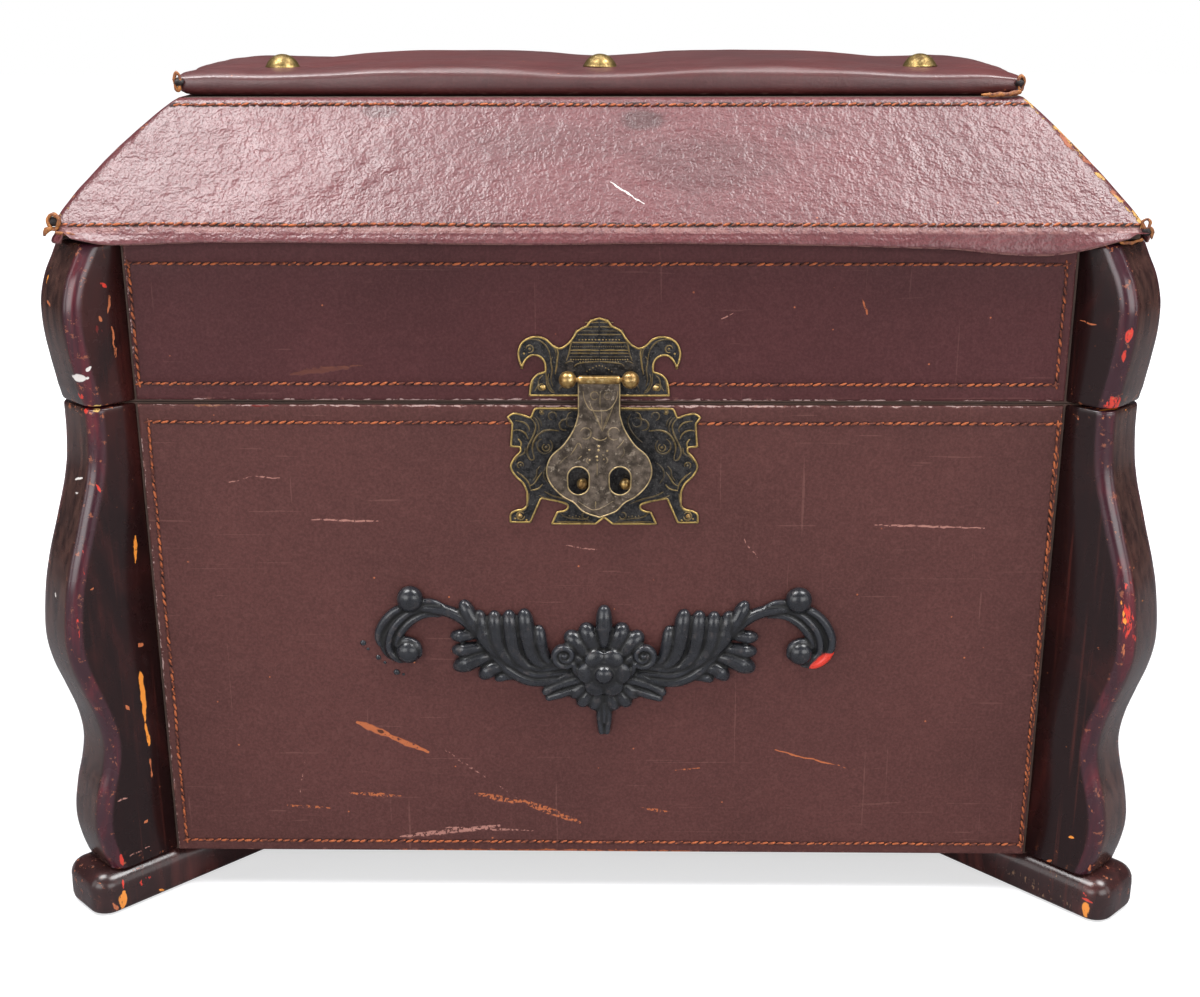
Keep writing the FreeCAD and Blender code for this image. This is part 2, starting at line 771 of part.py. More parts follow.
def hinge_screws(side):
    backward = vector(0, 1, 0)
    return [nail(spot, backward, screw_head_radius, screw_head_rise, screw_shank_radius, screw_length)
            for centre in (-hinge_offset, hinge_offset) for spot in hinge_screw_spots(centre, side)]


def hinge_screw_holes(side):
    return [rod(spot, forward, screw_shank_radius + hole_clearance, screw_length + hole_clearance)
            for centre in (-hinge_offset, hinge_offset) for spot in hinge_screw_spots(centre, side)]


def hinge_pins():
    pins = []
    for centre in (-hinge_offset, hinge_offset):
        start = vector(centre - hinge_length / 2 - touch_gap, hinge_axis_y, seam_height)
        length = hinge_length + 2 * touch_gap
        pin = rod(start, vector(1, 0, 0), pin_radius, length)
        for side, spot in ((-1, start), (1, start + vector(length, 0, 0))):
            pin = pin.fuse(rod(spot, vector(side, 0, 0), pin_head_radius, pin_head_thickness))
        pins.append(one_solid(pin))
    return pins


# Carved ornament

arm_shares = [(0.233, -0.21), (0.349, -0.155), (0.437, 0.053), (0.509, 0.363), (0.567, 0.62), (0.64, 0.88),
              (0.727, 1.01), (0.8, 1.02), (0.885, 0.94), (0.947, 0.775), (0.968, 0.525), (0.947, 0.31),
              (0.9, 0.2), (0.855, 0.25), (0.84, 0.4)]

upper_leaf_shares = [
    [(0.31, 0.0), (0.295, 0.675)],
    [(0.35, 0.05), (0.337, 0.935)],
    [(0.39, 0.12), (0.41, 0.945)],
    [(0.435, 0.22), (0.473, 0.935)],
    [(0.48, 0.37), (0.541, 0.935)],
    [(0.54, 0.6), (0.614, 1.065)],
]

lower_leaf_shares = [
    [(0.49, 0.25), (0.655, 0.49)],
    [(0.47, 0.15), (0.66, 0.225)],
    [(0.45, 0.07), (0.647, 0.0)],
    [(0.41, 0.0), (0.531, -0.105)],
]

ball_share = (0.838, 1.13)
upper_lobe_angles = (-75, -50, -25, 25, 50, 75)
lower_lobe_angles = (140, 160, 200, 220)
side_lobe_angles = (116, -116)


def ornament_spot(across, up):
    return vector(ornament_centre + across * ornament_half_width, 0, flower_height + up * ornament_half_height)


def spindle(start, end, girth):
    # Pointed rib: an arc turned about its own chord.
    arc = Part.Arc(start, (start + end) / 2 + forward * girth, end).toShape()
    face = Part.Face(Part.Wire([arc, Part.makeLine(end, start)]))
    return face.revolve(start, end - start, 360)


def bud(start, end, girth):
    # Leaf that widens from its root to a round tip.
    along = (end - start).normalize()
    middle = end - along * girth
    shoulder = middle + forward * girth
    cap = Part.Arc(shoulder, middle + (along + forward) * (girth / root_two), end).toShape()
    face = Part.Face(Part.Wire([Part.makeLine(start, shoulder), cap, Part.makeLine(end, start)]))
    return face.revolve(start, along, 360)


def lobe(make, angle, length, girth):
    turn = math.radians(angle)
    outward = vector(math.sin(turn), 0, math.cos(turn))
    centre = ornament_spot(0, 0)
    return make(centre + outward * palmette_root, centre + outward * (palmette_root + length), girth)


def ornament_flower():
    centre = ornament_spot(0, 0)
    pieces = [dome(centre, forward, flower_boss_radius, flower_boss_rise)]
    for index in range(petal_count):
        turn = 2 * math.pi * index / petal_count
        outward = vector(math.sin(turn), 0, math.cos(turn))
        pieces.append(Part.makeSphere(petal_radius, centre + outward * petal_distance))
    for angle in upper_lobe_angles + lower_lobe_angles:
        pieces.append(lobe(bud, angle, palmette_length, palmette_girth))
    for angle in side_lobe_angles:
        pieces.append(lobe(bud, angle, side_leaf_length, palmette_girth))
    for angle in (0, 180):
        pieces.append(lobe(spindle, angle, finial_length, finial_girth))
    return pieces


def ornament_arm(side):
    spots = [ornament_spot(side * across, up) for across, up in arm_shares]
    curve = Part.BSplineCurve()
    curve.interpolate(spots)
    ring = Part.Wire(Part.makeCircle(arm_radius, spots[0], curve.tangent(curve.FirstParameter)[0]).Edges)
    return Part.Wire(curve.toShape()).makePipeShell([ring], True, False)


def ornament_leaves(side):
    return [bud(ornament_spot(side * root[0], root[1]), ornament_spot(side * tip[0], tip[1]), fan_leaf_girth)
            for root, tip in upper_leaf_shares + lower_leaf_shares]


def ornament_scrolls(side):
    volute = ornament_spot(0, 0) + vector(side * volute_offset, 0, volute_rise)
    return [
        Part.makeSphere(scroll_ball_radius, ornament_spot(side * ball_share[0], ball_share[1])),
        Part.makeSphere(scroll_eye_radius, ornament_spot(side * arm_shares[-1][0], arm_shares[-1][1])),
        Part.makeTorus(volute_radius, volute_girth, volute, forward),
        Part.makeSphere(volute_girth, volute),
    ]


def carved_ornament():
    # Only what stands in front of the leather is kept.
    kept = block(-half_panel, half_panel, -overrun, 0, foot_height, seam_height)
    flower = ornament_flower()
    whole = flower[0].multiFuse(flower[1:]).common(kept)
    for side in (-1, 1):
        scroll = ornament_arm(side).multiFuse(ornament_leaves(side) + ornament_scrolls(side))
        whole = whole.fuse(scroll.common(kept))
    return one_solid(whole)


def drilled(shape, holes):
    for hole in holes:
        shape = shape.cut(hole)
    return shape


def build_base():
    nodes = wall_boards("base", foot_height, base_top)
    nodes.update(wall_leathers("base", foot_height, base_top - trim_gap))
    nodes["base_floor_board"] = base_floor_board()
    nodes["base_lining"] = base_lining()
    front = front_post(lower_stations())
    rear = rear_post(lower_stations())
    nodes["lower_post_front_left"] = front
    nodes["lower_post_front_right"] = mirrored_x(front)
    nodes["lower_post_rear_left"] = rear
    nodes["lower_post_rear_right"] = mirrored_x(rear)
    nodes["foot_front_left"] = front_foot()
    nodes["foot_front_right"] = mirrored_x(front_foot())
    nodes["foot_rear_left"] = rear_foot()
    nodes["foot_rear_right"] = mirrored_x(rear_foot())
    nodes["carved_ornament"] = carved_ornament()
    front_holes = staple_holes() + plate_nail_holes(lower_nail_spots)
    nodes["hasp_lower_plate"] = drilled(hasp_lower_plate(), front_holes)
    nodes["base_front_leather"] = drilled(nodes["base_front_leather"], front_holes)
    nodes["base_front_board"] = drilled(nodes["base_front_board"], front_holes)
    nodes["hasp_staples"] = Part.makeCompound(hasp_staples())
    nodes["hasp_lower_nails"] = Part.makeCompound(plate_nails(lower_nail_spots))
    back_holes = hinge_screw_holes(-1)
    nodes["base_back_leather"] = drilled(nodes["base_back_leather"], back_holes)
    nodes["base_back_board"] = drilled(nodes["base_back_board"], back_holes)
    nodes["hinge_left_base_leaf"] = hinge_leaf(-hinge_offset, -1, 0)
    nodes["hinge_right_base_leaf"] = hinge_leaf(hinge_offset, -1, 0)
    nodes["hinge_base_screws"] = Part.makeCompound(hinge_screws(-1))
    nodes["hinge_pins"] = Part.makeCompound(hinge_pins())
    return nodes


def build_lid():
    nodes = wall_boards("lid", lid_bottom, eave_height)
    nodes.update(wall_leathers("lid", lid_bottom + trim_gap, eave_height))
    nodes.update(slope_boards())
    nodes["lid_slope_cover"] = slope_cover()
    nodes["lid_lining"] = lid_lining()
    nodes["lid_cushion"] = lid_cushion()
    nodes["cushion_nails"] = Part.makeCompound(cushion_nails())
    nodes["lid_top_board"] = drilled(lid_top_board(), cushion_nail_holes())
    front = front_post(upper_stations())
    rear = rear_post(upper_stations())
    nodes["upper_post_front_left"] = front
    nodes["upper_post_front_right"] = mirrored_x(front)
    nodes["upper_post_rear_left"] = rear
    nodes["upper_post_rear_right"] = mirrored_x(rear)
    front_holes = rod_holes() + plate_nail_holes(upper_nail_spots)
    nodes["hasp_upper_plate"] = drilled(hasp_upper_plate(), front_holes)
    nodes["lid_front_leather"] = drilled(nodes["lid_front_leather"], front_holes)
    nodes["lid_front_board"] = drilled(nodes["lid_front_board"], front_holes)
    nodes["hasp_rod"] = hasp_rod()
    nodes["hasp_upper_nails"] = Part.makeCompound(plate_nails(upper_nail_spots))
    back_holes = hinge_screw_holes(1)
    nodes["lid_back_leather"] = drilled(nodes["lid_back_leather"], back_holes)
    nodes["lid_back_board"] = drilled(nodes["lid_back_board"], back_holes)
    nodes["hinge_left_lid_leaf"] = hinge_leaf(-hinge_offset, 1, 1)
    nodes["hinge_right_lid_leaf"] = hinge_leaf(hinge_offset, 1, 1)
    nodes["hinge_lid_screws"] = Part.makeCompound(hinge_screws(1))
    return nodes


to_middle = vector(0, (front_reach - rear_reach) / 2, 0)

nodes = build_base()
nodes.update(build_lid())
nodes["hasp_plate"] = hasp_plate()

os.makedirs("parts", exist_ok=True)
for name, shape in nodes.items():
    shape.translate(to_middle)
    shape.exportStep("parts/" + name + ".step")
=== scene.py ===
import math
import random
import bmesh
import bpy
import numpy as np
from mathutils import Matrix, Vector, noise


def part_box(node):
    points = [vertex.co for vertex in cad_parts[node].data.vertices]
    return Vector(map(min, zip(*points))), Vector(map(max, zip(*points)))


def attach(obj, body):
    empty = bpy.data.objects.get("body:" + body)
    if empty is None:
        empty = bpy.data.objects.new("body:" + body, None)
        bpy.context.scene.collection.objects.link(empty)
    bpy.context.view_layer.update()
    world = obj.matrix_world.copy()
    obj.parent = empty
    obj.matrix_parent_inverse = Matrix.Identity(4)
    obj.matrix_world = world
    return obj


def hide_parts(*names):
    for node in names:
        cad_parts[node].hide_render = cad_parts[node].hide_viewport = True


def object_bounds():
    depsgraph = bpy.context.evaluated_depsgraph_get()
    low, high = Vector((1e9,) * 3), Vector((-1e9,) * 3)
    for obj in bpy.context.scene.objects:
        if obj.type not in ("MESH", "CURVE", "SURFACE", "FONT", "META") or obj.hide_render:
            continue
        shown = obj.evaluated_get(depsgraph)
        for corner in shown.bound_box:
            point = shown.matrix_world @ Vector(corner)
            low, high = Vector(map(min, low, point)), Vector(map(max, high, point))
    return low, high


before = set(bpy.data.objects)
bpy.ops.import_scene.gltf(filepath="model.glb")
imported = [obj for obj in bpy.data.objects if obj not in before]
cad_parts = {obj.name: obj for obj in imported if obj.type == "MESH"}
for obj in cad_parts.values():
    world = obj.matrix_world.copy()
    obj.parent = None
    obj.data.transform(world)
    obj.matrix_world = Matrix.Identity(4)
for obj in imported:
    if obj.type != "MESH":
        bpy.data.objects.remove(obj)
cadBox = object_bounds()
print("frame loaded")

mm = 0.001
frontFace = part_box("base_front_leather")[0].y
baseEdge, lidEdge = (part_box(node)[1].x / mm - 0.8 for node in ("base_front_leather", "lid_front_leather"))


def place(x, y, z):  # millimetres, Y from the front leather face
    return Vector((x * mm, frontFace + y * mm, z * mm))


def limit(value, low=0.0, high=1.0):
    return min(max(value, low), high)


def bell(distance, width):
    return math.exp(-(distance / width) ** 2)


def sway(x, y, z):
    return noise.noise(Vector((x, y, z)))


noise.seed_set(11)  # noise_vector starts from here, the same on each run


# node trees

class nodeGraph:  # a node tree, with short calls for the nodes that repeat
    def __init__(self, tree):
        self.tree = tree

    def put(self, socket, value):
        if isinstance(value, bpy.types.NodeSocket):
            self.tree.links.new(value, socket)
        else:
            socket.default_value = value

    def node(self, kind, inputs=None, **settings):
        made = self.tree.nodes.new(kind)
        for key, value in settings.items():
            setattr(made, key, value)
        for key, value in (inputs or {}).items():
            self.put(made.inputs[key], value)
        return made

    def maths(self, operation, *values):
        return self.node("ShaderNodeMath", dict(enumerate(values)), operation=operation).outputs[0]

    def add(self, *values):
        return self.maths("ADD", *values)

    def sub(self, *values):
        return self.maths("SUBTRACT", *values)

    def mul(self, *values):
        return self.maths("MULTIPLY", *values)

    def most(self, *values):
        return self.maths("MAXIMUM", *values)

    def rest(self, value):
        return self.sub(1.0, value)

    def vector(self, operation, *values):
        made = self.node("ShaderNodeVectorMath", dict(enumerate(values)), operation=operation)
        return made.outputs["Value" if operation in ("DOT_PRODUCT", "LENGTH") else 0]

    def scaled(self, vector, factor):
        return self.node("ShaderNodeVectorMath", {0: vector, "Scale": factor}, operation="SCALE").outputs[0]

    def joined(self, x, y, z):
        return self.node("ShaderNodeCombineXYZ", {0: x, 1: y, 2: z}).outputs[0]

    def mix(self, factor, first, second):
        first, second = ((*c, 1) if isinstance(c, tuple) else c for c in (first, second))
        return self.node("ShaderNodeMix", {0: factor, 6: first, 7: second}, data_type="RGBA").outputs[2]

    def step(self, value, low, high):
        made = self.node("ShaderNodeMapRange", {0: value, 1: low, 2: high}, interpolation_type="SMOOTHSTEP")
        return made.outputs[0]

    def painted(self, inputs, given):  # instances as real meshes with their material, as the tree's output
        placed = self.node("GeometryNodeInstanceOnPoints", inputs).outputs[0]
        real = self.node("GeometryNodeRealizeInstances", {"Geometry": placed}).outputs[0]
        made = self.node("GeometryNodeSetMaterial", {"Geometry": real, "Material": given["Material"]}).outputs[0]
        self.node("NodeGroupOutput", {0: made})
        return self.tree


def newGroup(name, kind, inputs, output):  # inputs: name and kind of each socket
    tree = bpy.data.node_groups.new(name, kind)
    for label, socket in inputs.items():
        tree.interface.new_socket(label, in_out="INPUT", socket_type="NodeSocket" + socket)
    tree.interface.new_socket(output, in_out="OUTPUT", socket_type="NodeSocket" + output)
    graph = nodeGraph(tree)
    return graph, graph.node("NodeGroupInput").outputs


def strokeGroup():  # mask of one ragged stroke from start to end
    graph, given = newGroup("raggedStroke", "ShaderNodeTree", {
        "Moved": "Vector", "Fleck": "Float", "Start": "Vector", "End": "Vector", "Width": "Float", "Break Up": "Float",
    }, "Float")
    fromStart = graph.vector("SUBTRACT", given["Moved"], given["Start"])
    along = graph.vector("SUBTRACT", given["End"], given["Start"])
    reach = graph.vector("DOT_PRODUCT", along, along)
    share = graph.maths("DIVIDE", graph.vector("DOT_PRODUCT", fromStart, along), reach)
    share = graph.maths("MINIMUM", graph.most(share, 0.0), 1.0)
    gap = graph.vector("LENGTH", graph.vector("SUBTRACT", fromStart, graph.scaled(along, share)))
    taper = graph.add(graph.mul(graph.mul(share, graph.rest(share)), 2.4), 0.4)  # thin at both ends
    width = graph.mul(given["Width"], taper)
    inside = graph.rest(graph.step(gap, graph.mul(width, 0.55), width))
    kept = graph.step(given["Fleck"], given["Break Up"], graph.add(given["Break Up"], 0.08))
    graph.node("NodeGroupOutput", {0: graph.mul(inside, kept)})
    return graph.tree


raggedStroke = strokeGroup()


class surface(nodeGraph):  # a material whose colour is built up in layers
    def __init__(self, name):
        self.material = bpy.data.materials.new(name)
        self.material.use_nodes = True
        super().__init__(self.material.node_tree)
        self.shader = self.tree.nodes["Principled BSDF"]
        self.where = self.node("ShaderNodeTexCoord").outputs["Object"]

    def stretched(self, scale, turn=(0, 0, 0)):
        return self.node("ShaderNodeMapping", {"Vector": self.where, "Scale": scale, "Rotation": turn}).outputs[0]

    def noise(self, scale, detail=3.0, rough=0.5, warp=0.0, where=None):
        return self.node("ShaderNodeTexNoise", {"Vector": self.where if where is None else where,
                                                "Scale": scale, "Detail": detail, "Roughness": rough,
                                                "Distortion": warp}).outputs["Fac"]

    def patches(self, low, high, *settings, **others):  # smooth patches of noise between two levels
        return self.step(self.noise(*settings, **others), low, high)

    def attribute(self, name):
        return self.node("ShaderNodeAttribute", attribute_name=name).outputs["Fac"]

    def base(self, mask, first, second):
        self.colour = self.mix(mask, first, second)

    def layer(self, colour, mask, amount=1.0):
        self.colour = self.mix(mask if amount == 1.0 else self.mul(mask, amount), self.colour, colour)

    def strokes(self, marks, stretch=(1, 1, 1)):  # gives the mask and the colour of each mark
        wobble = self.node("ShaderNodeTexNoise", {"Vector": self.where, "Scale": 160.0, "Detail": 2.0})
        shift = self.scaled(self.vector("SUBTRACT", wobble.outputs["Color"], (0.5, 0.5, 0.5)), 0.003)
        moved = self.vector("ADD", self.where, shift)
        fleck = self.noise(420.0, 3.0, 0.65, where=self.stretched(stretch))
        for mark in marks:
            width, breakUp, tint = mark[6:]
            inputs = {"Moved": moved, "Fleck": fleck, "Start": place(*mark[:3]), "End": place(*mark[3:6]),
                      "Width": width * mm, "Break Up": breakUp}
            yield self.node("ShaderNodeGroup", inputs, node_tree=raggedStroke).outputs[0], tint

    def finish(self, rough, height, strength, distance, others=None):
        bump = self.node("ShaderNodeBump", {"Height": height, "Strength": strength, "Distance": distance}).outputs[0]
        given = {"Base Color": self.colour, "Roughness": rough, "Normal": bump, **(others or {})}
        for name, value in given.items():
            self.put(self.shader.inputs[name], value)
        return self.material


# marks: start and end in mm, half width in mm, break up, colour

rawOrange = (0.42, 0.12, 0.045)
rawPink = (0.36, 0.17, 0.14)
rawYellow = (0.62, 0.40, 0.12)
# white of bare chips, also used for a painted highlight on the front-left lower post
whiteChipAndHighlight = (0.62, 0.58, 0.55)
brightRed = (0.55, 0.03, 0.015)
darkBlot = (0.022, 0.010, 0.010)
rawAmber = (0.72, 0.24, 0.03)
rawTan = (0.20, 0.11, 0.06)
deepRed = (0.12, 0.008, 0.006)
paleRim = (0.42, 0.29, 0.27)
smear = (0.20, 0.085, 0.045)

frontMarks = [
    (-140.6, 0, 109.9, -122, 0, 101, 2.6, 0.3, rawOrange), (-124, 0, 102, -100.4, 0, 90.8, 2.1, 0.36, rawOrange),
    (-130, 0, 105, -126, 0, 103, 1.3, 0.4, darkBlot), (102.6, 0, 93.2, 149.8, 0, 80.5, 0.75, 0.32, rawOrange),
    (-73.5, 0, 64, -47, 0, 58, 2.2, 0.46, rawOrange), (-47, 0, 59.5, -12, 0, 45, 2.6, 0.46, rawOrange),
    (-119, 0, 34.5, -59, 0, 42.5, 2.0, 0.42, rawPink), (-96, 0, 41, -40, 0, 39, 1.0, 0.45, rawPink),
    (153.6, 0, 232.4, 214.7, 0, 230.8, 0.8, 0.36, rawPink), (-161.3, 0, 234.9, -122.2, 0, 233.8, 0.9, 0.38, rawPink),
    (-207.3, 0, 255.5, -192, 0, 259.6, 0.6, 0.38, rawPink), (-192, 0, 259.6, -176.6, 0, 258.8, 0.6, 0.38, rawPink),
    (-186.7, 0, 55.3, -160, 0, 53.5, 1.1, 0.5, rawOrange), (-147.6, 0, 63.6, -118, 0, 61.8, 1.6, 0.48, rawOrange),
    (-98.9, 0, 98.6, -47, 0, 59.5, 0.7, 0.52, rawPink), (24, 0, 54.7, 41.8, 0, 52.1, 1.2, 0.5, rawOrange),
    (44.4, 0, 79.9, 59, 0, 81.3, 0.7, 0.45, rawOrange), (-173, 0, 86, -178, 0, 58, 0.5, 0.5, rawPink),
    (-21.8, 0, 219.9, 0.6, 0, 217, 0.5, 0.45, rawPink), (78.8, 0, 226.2, 90.3, 0, 211.4, 0.5, 0.5, rawPink),
    # the paleRim lines along the top rim at 300.6 mm and the left side edge are painted highlights on those edges,
    # partly worn rim
    (-120, 0, 25.5, 60, 0, 25.5, 1.3, 0.42, rawOrange), (-247, 0, 300.6, 247, 0, 300.6, 0.9, 0.4, paleRim),
    (-225, 0, 300.4, -205, 0, 300.4, 0.9, 0.42, smear), (-190, 0, 300.2, -178, 0, 300.0, 0.9, 0.42, deepRed),
    (-baseEdge, 0, 296, -baseEdge, 0, 22, 0.8, 0.5, paleRim),
    (baseEdge, 0, 296, baseEdge, 0, 22, 0.8, 0.5, rawOrange), (-240, 0, 22.5, 240, 0, 22.5, 1.0, 0.44, paleRim),
]
lidMarks = [
    (140.1, 0, 360, 143.8, 0, 350.3, 0.9, 0.36, rawOrange),
    (-167, 0, 317.8, -136, 0, 321.6, 1.6, 0.3, (0.105, 0.036, 0.026)),
    (-158, 0, 320.6, -128, 0, 323, 0.7, 0.34, (0.12, 0.042, 0.028)),
    # the paleRim lines along the lower rim at 303.4 mm and the side edge of the lid are painted highlights on those
    # edges, partly worn rim
    (-247, 0, 303.4, 247, 0, 303.4, 0.9, 0.4, paleRim), (-lidEdge, 0, 386, -lidEdge, 0, 306, 0.8, 0.52, paleRim),
    (60, 0, 345, 72, 0, 352, 0.5, 0.4, rawPink),
]
slopeMarks = [
    (6, 13.4, 419.3, 24.5, 4.6, 409.4, 0.8, 0.25, (0.8, 0.7, 0.68)),
    (120, 10, 415, 210, 2, 406, 0.5, 0.55, (0.5, 0.36, 0.36)),
    (-130, 46.6, 460.2, -45, 46.6, 460.2, 1.5, 0.36, rawOrange),
    (60, 46.6, 460.2, 215, 46.6, 460.2, 1.1, 0.45, rawOrange), (-215, 20, 427, -196, 8, 412, 0.5, 0.5, paleRim),
    (236, 14, 420, 241, -1, 403, 0.7, 0.42, paleRim), (229, 20, 427, 233, 12, 417, 0.5, 0.45, paleRim),
]
slopeStains = [  # middle, half width, half height in mm, depth of tone
    (23, 39, 449, 13, 5.6, 0.55), (-119, 43, 453, 12, 3.6, 0.4), (60, 20, 428, 45, 14, 0.22),
    (-20, 30, 438, 60, 10, 0.16), (110, 34, 443, 20, 5, 0.2),
]
cushionMarks = [
    (186, 48, 461.6, 224, 48, 463.6, 2.6, 0.34, rawOrange), (205, 48, 464, 226, 48, 466, 1.8, 0.4, rawAmber),
    (-230, 54, 475, -231.5, 52, 462, 2.6, 0.28, rawAmber), (230, 54, 474, 231.5, 52, 461, 2.4, 0.3, rawOrange),
    (-215, 48, 475, -214, 48, 465, 0.6, 0.4, rawPink), (-210, 48, 468.4, -209, 48, 464.4, 0.9, 0.36, rawOrange),
    (-165, 48, 471, -162, 48, 470, 0.9, 0.3, rawOrange), (21, 48, 471, 21.5, 48, 460.5, 0.6, 0.35, paleRim),
    (128, 48, 474, 125, 48, 461, 0.5, 0.42, rawPink), (198, 48, 471, 201, 48, 470.4, 0.8, 0.3, rawOrange),
    (-130, 48, 461, -60, 48, 460.6, 1.0, 0.42, rawOrange), (-60, 60, 475, -35, 75, 476, 0.5, 0.48, rawPink),
]

leatherLooks = {
    "bodyLeather": {"deep": (0.054, 0.0168, 0.0150), "base": (0.080, 0.0250, 0.0225), "light": (0.118, 0.045, 0.040),
                    "rough": 0.50, "gloss": 0.22, "grain": 0.3, "marks": frontMarks, "streak": 0.16, "grit": 0.42},
    "lidLeather": {"deep": (0.043, 0.0090, 0.0100), "base": (0.062, 0.0140, 0.0155), "light": (0.092, 0.028, 0.029),
                   "rough": 0.47, "gloss": 0.25, "grain": 0.3, "marks": lidMarks, "streak": 0.10, "grit": 0.42},
    "slopeLeather": {"deep": (0.070, 0.013, 0.016), "base": (0.108, 0.024, 0.028), "light": (0.16, 0.052, 0.056),
                     "rough": 0.29, "gloss": 0.6, "grain": 1.0, "ripple": 0.42, "fray": 0.42, "marks": slopeMarks,
                     "stains": slopeStains, "rows": [399.2, 456.6], "streak": 0.12, "grit": 0.5},
    "cushionLeather": {"deep": (0.040, 0.005, 0.006), "base": (0.078, 0.008, 0.008), "light": (0.12, 0.026, 0.026),
                       "rough": 0.34, "gloss": 1.0, "grain": 0.3, "ripple": 0.12, "marks": cushionMarks,
                       "streak": 0.08, "grit": 0.2},
}
scratchRuns = (((9, 9, 560), 0.06), ((480, 480, 11), 0.3), ((22, 22, 450), -0.5))  # stretch, turn about Y


def leatherMaterial(name, look):
    skin = surface(name)
    skin.base(skin.patches(0.25, 0.75, 9.0, 5.0, 0.62), look["deep"], look["base"])
    skin.layer(look["light"], skin.patches(0.46, 0.82, 160.0, 6.0, 0.7, 0.4), 0.5)
    for stretch, turn in scratchRuns:
        line = skin.patches(0.72, 0.76, 1.0, 2.0, where=skin.stretched(stretch, (0, turn, 0)))
        skin.layer(rawPink, line, look["streak"])
    cells = skin.node("ShaderNodeTexVoronoi", {"Vector": skin.where, "Scale": 95.0}).outputs
    rare = skin.step(skin.node("ShaderNodeSeparateColor", {0: cells["Color"]}).outputs[0], 0.8, 0.82)
    skin.layer(rawOrange, skin.mul(skin.rest(skin.step(cells["Distance"], 0.03, 0.07)), rare))
    skin.layer(look["light"], skin.patches(0.34, 0.68, 640.0, 3.0, 0.7), look["grit"])
    skin.layer(look["deep"], skin.rest(skin.patches(0.62, 0.5, 520.0, 2.0, 0.6)), look["grit"])
    for x, y, z, across, tall, tone in look.get("stains", []):
        gap = skin.vector("SUBTRACT", skin.where, tuple(place(x, y, z)))
        gap = skin.vector("LENGTH", skin.vector("MULTIPLY", gap, (1 / (across * mm), 0.0, 1 / (tall * mm))))
        gap = skin.add(gap, skin.mul(skin.noise(70.0, 3.0), 0.7))
        skin.layer(darkBlot, skin.rest(skin.step(gap, 0.95, 1.5)), tone)
    worn = 0.0
    for mask, tint in skin.strokes(look["marks"]):
        skin.layer(tint, mask, 0.85)
        worn = skin.most(mask, worn)
    # holes: near-black painted shade in the stitch holes and the grooves of the stitch rows
    holes = skin.attribute("holes")
    for row in look.get("rows", []):  # painted shade of the stitch holes along the rows of the slope
        level = skin.node("ShaderNodeSeparateXYZ", {0: skin.where}).outputs[2]
        gap = skin.maths("ABSOLUTE", skin.sub(level, row * mm))
        holes = skin.most(holes, skin.rest(skin.step(gap, 0.0007, 0.0016)))
    holes = skin.mul(holes, skin.patches(0.42, 0.52, 330.0, 1.0))
    skin.layer((0.004, 0.002, 0.002), holes, 0.92)
    fray = look.get("fray", 0.56)
    frayed = skin.mul(skin.attribute("wear"), skin.patches(fray, fray + 0.1, 150.0, 5.0, 0.75))
    skin.layer(rawPink, frayed, 0.75)
    hip = skin.attribute("hip")
    skin.layer(look["deep"], skin.step(hip, 0.05, 0.3), 0.6)
    ridge = skin.step(skin.add(skin.noise(130.0, 4.0, 0.7), skin.mul(hip, 0.3)), 0.70, 0.76)
    ridge = skin.mul(ridge, skin.step(hip, 0.1, 0.25))
    raw = skin.mix(skin.patches(0.45, 0.55, 60.0, 2.0), (0.26, 0.065, 0.02), (0.50, 0.28, 0.06))
    skin.layer(raw, ridge, 0.85)
    worn = skin.most(frayed, skin.most(worn, ridge))
    rough = skin.add(look["rough"], skin.mul(skin.noise(45.0, 4.0), 0.16))
    rough = skin.most(skin.add(rough, skin.mul(worn, 0.3)), skin.mul(holes, 0.95))
    pores = skin.node("ShaderNodeTexVoronoi", {"Vector": skin.where, "Scale": 780.0}, feature="SMOOTH_F1")
    height = skin.add(skin.mul(pores.outputs["Distance"], 0.5), skin.mul(skin.noise(260.0, 3.0, 0.6), 0.9))
    height = skin.sub(height, skin.mul(worn, 1.2))
    if "ripple" in look:
        height = skin.add(height, skin.mul(skin.noise(165.0, 3.0, 0.55), look["ripple"] * 5))
    return skin.finish(rough, height, look["grain"], 0.0004, {"Specular IOR Level": look["gloss"]})


leathers = {name: leatherMaterial(name, look) for name, look in leatherLooks.items()}

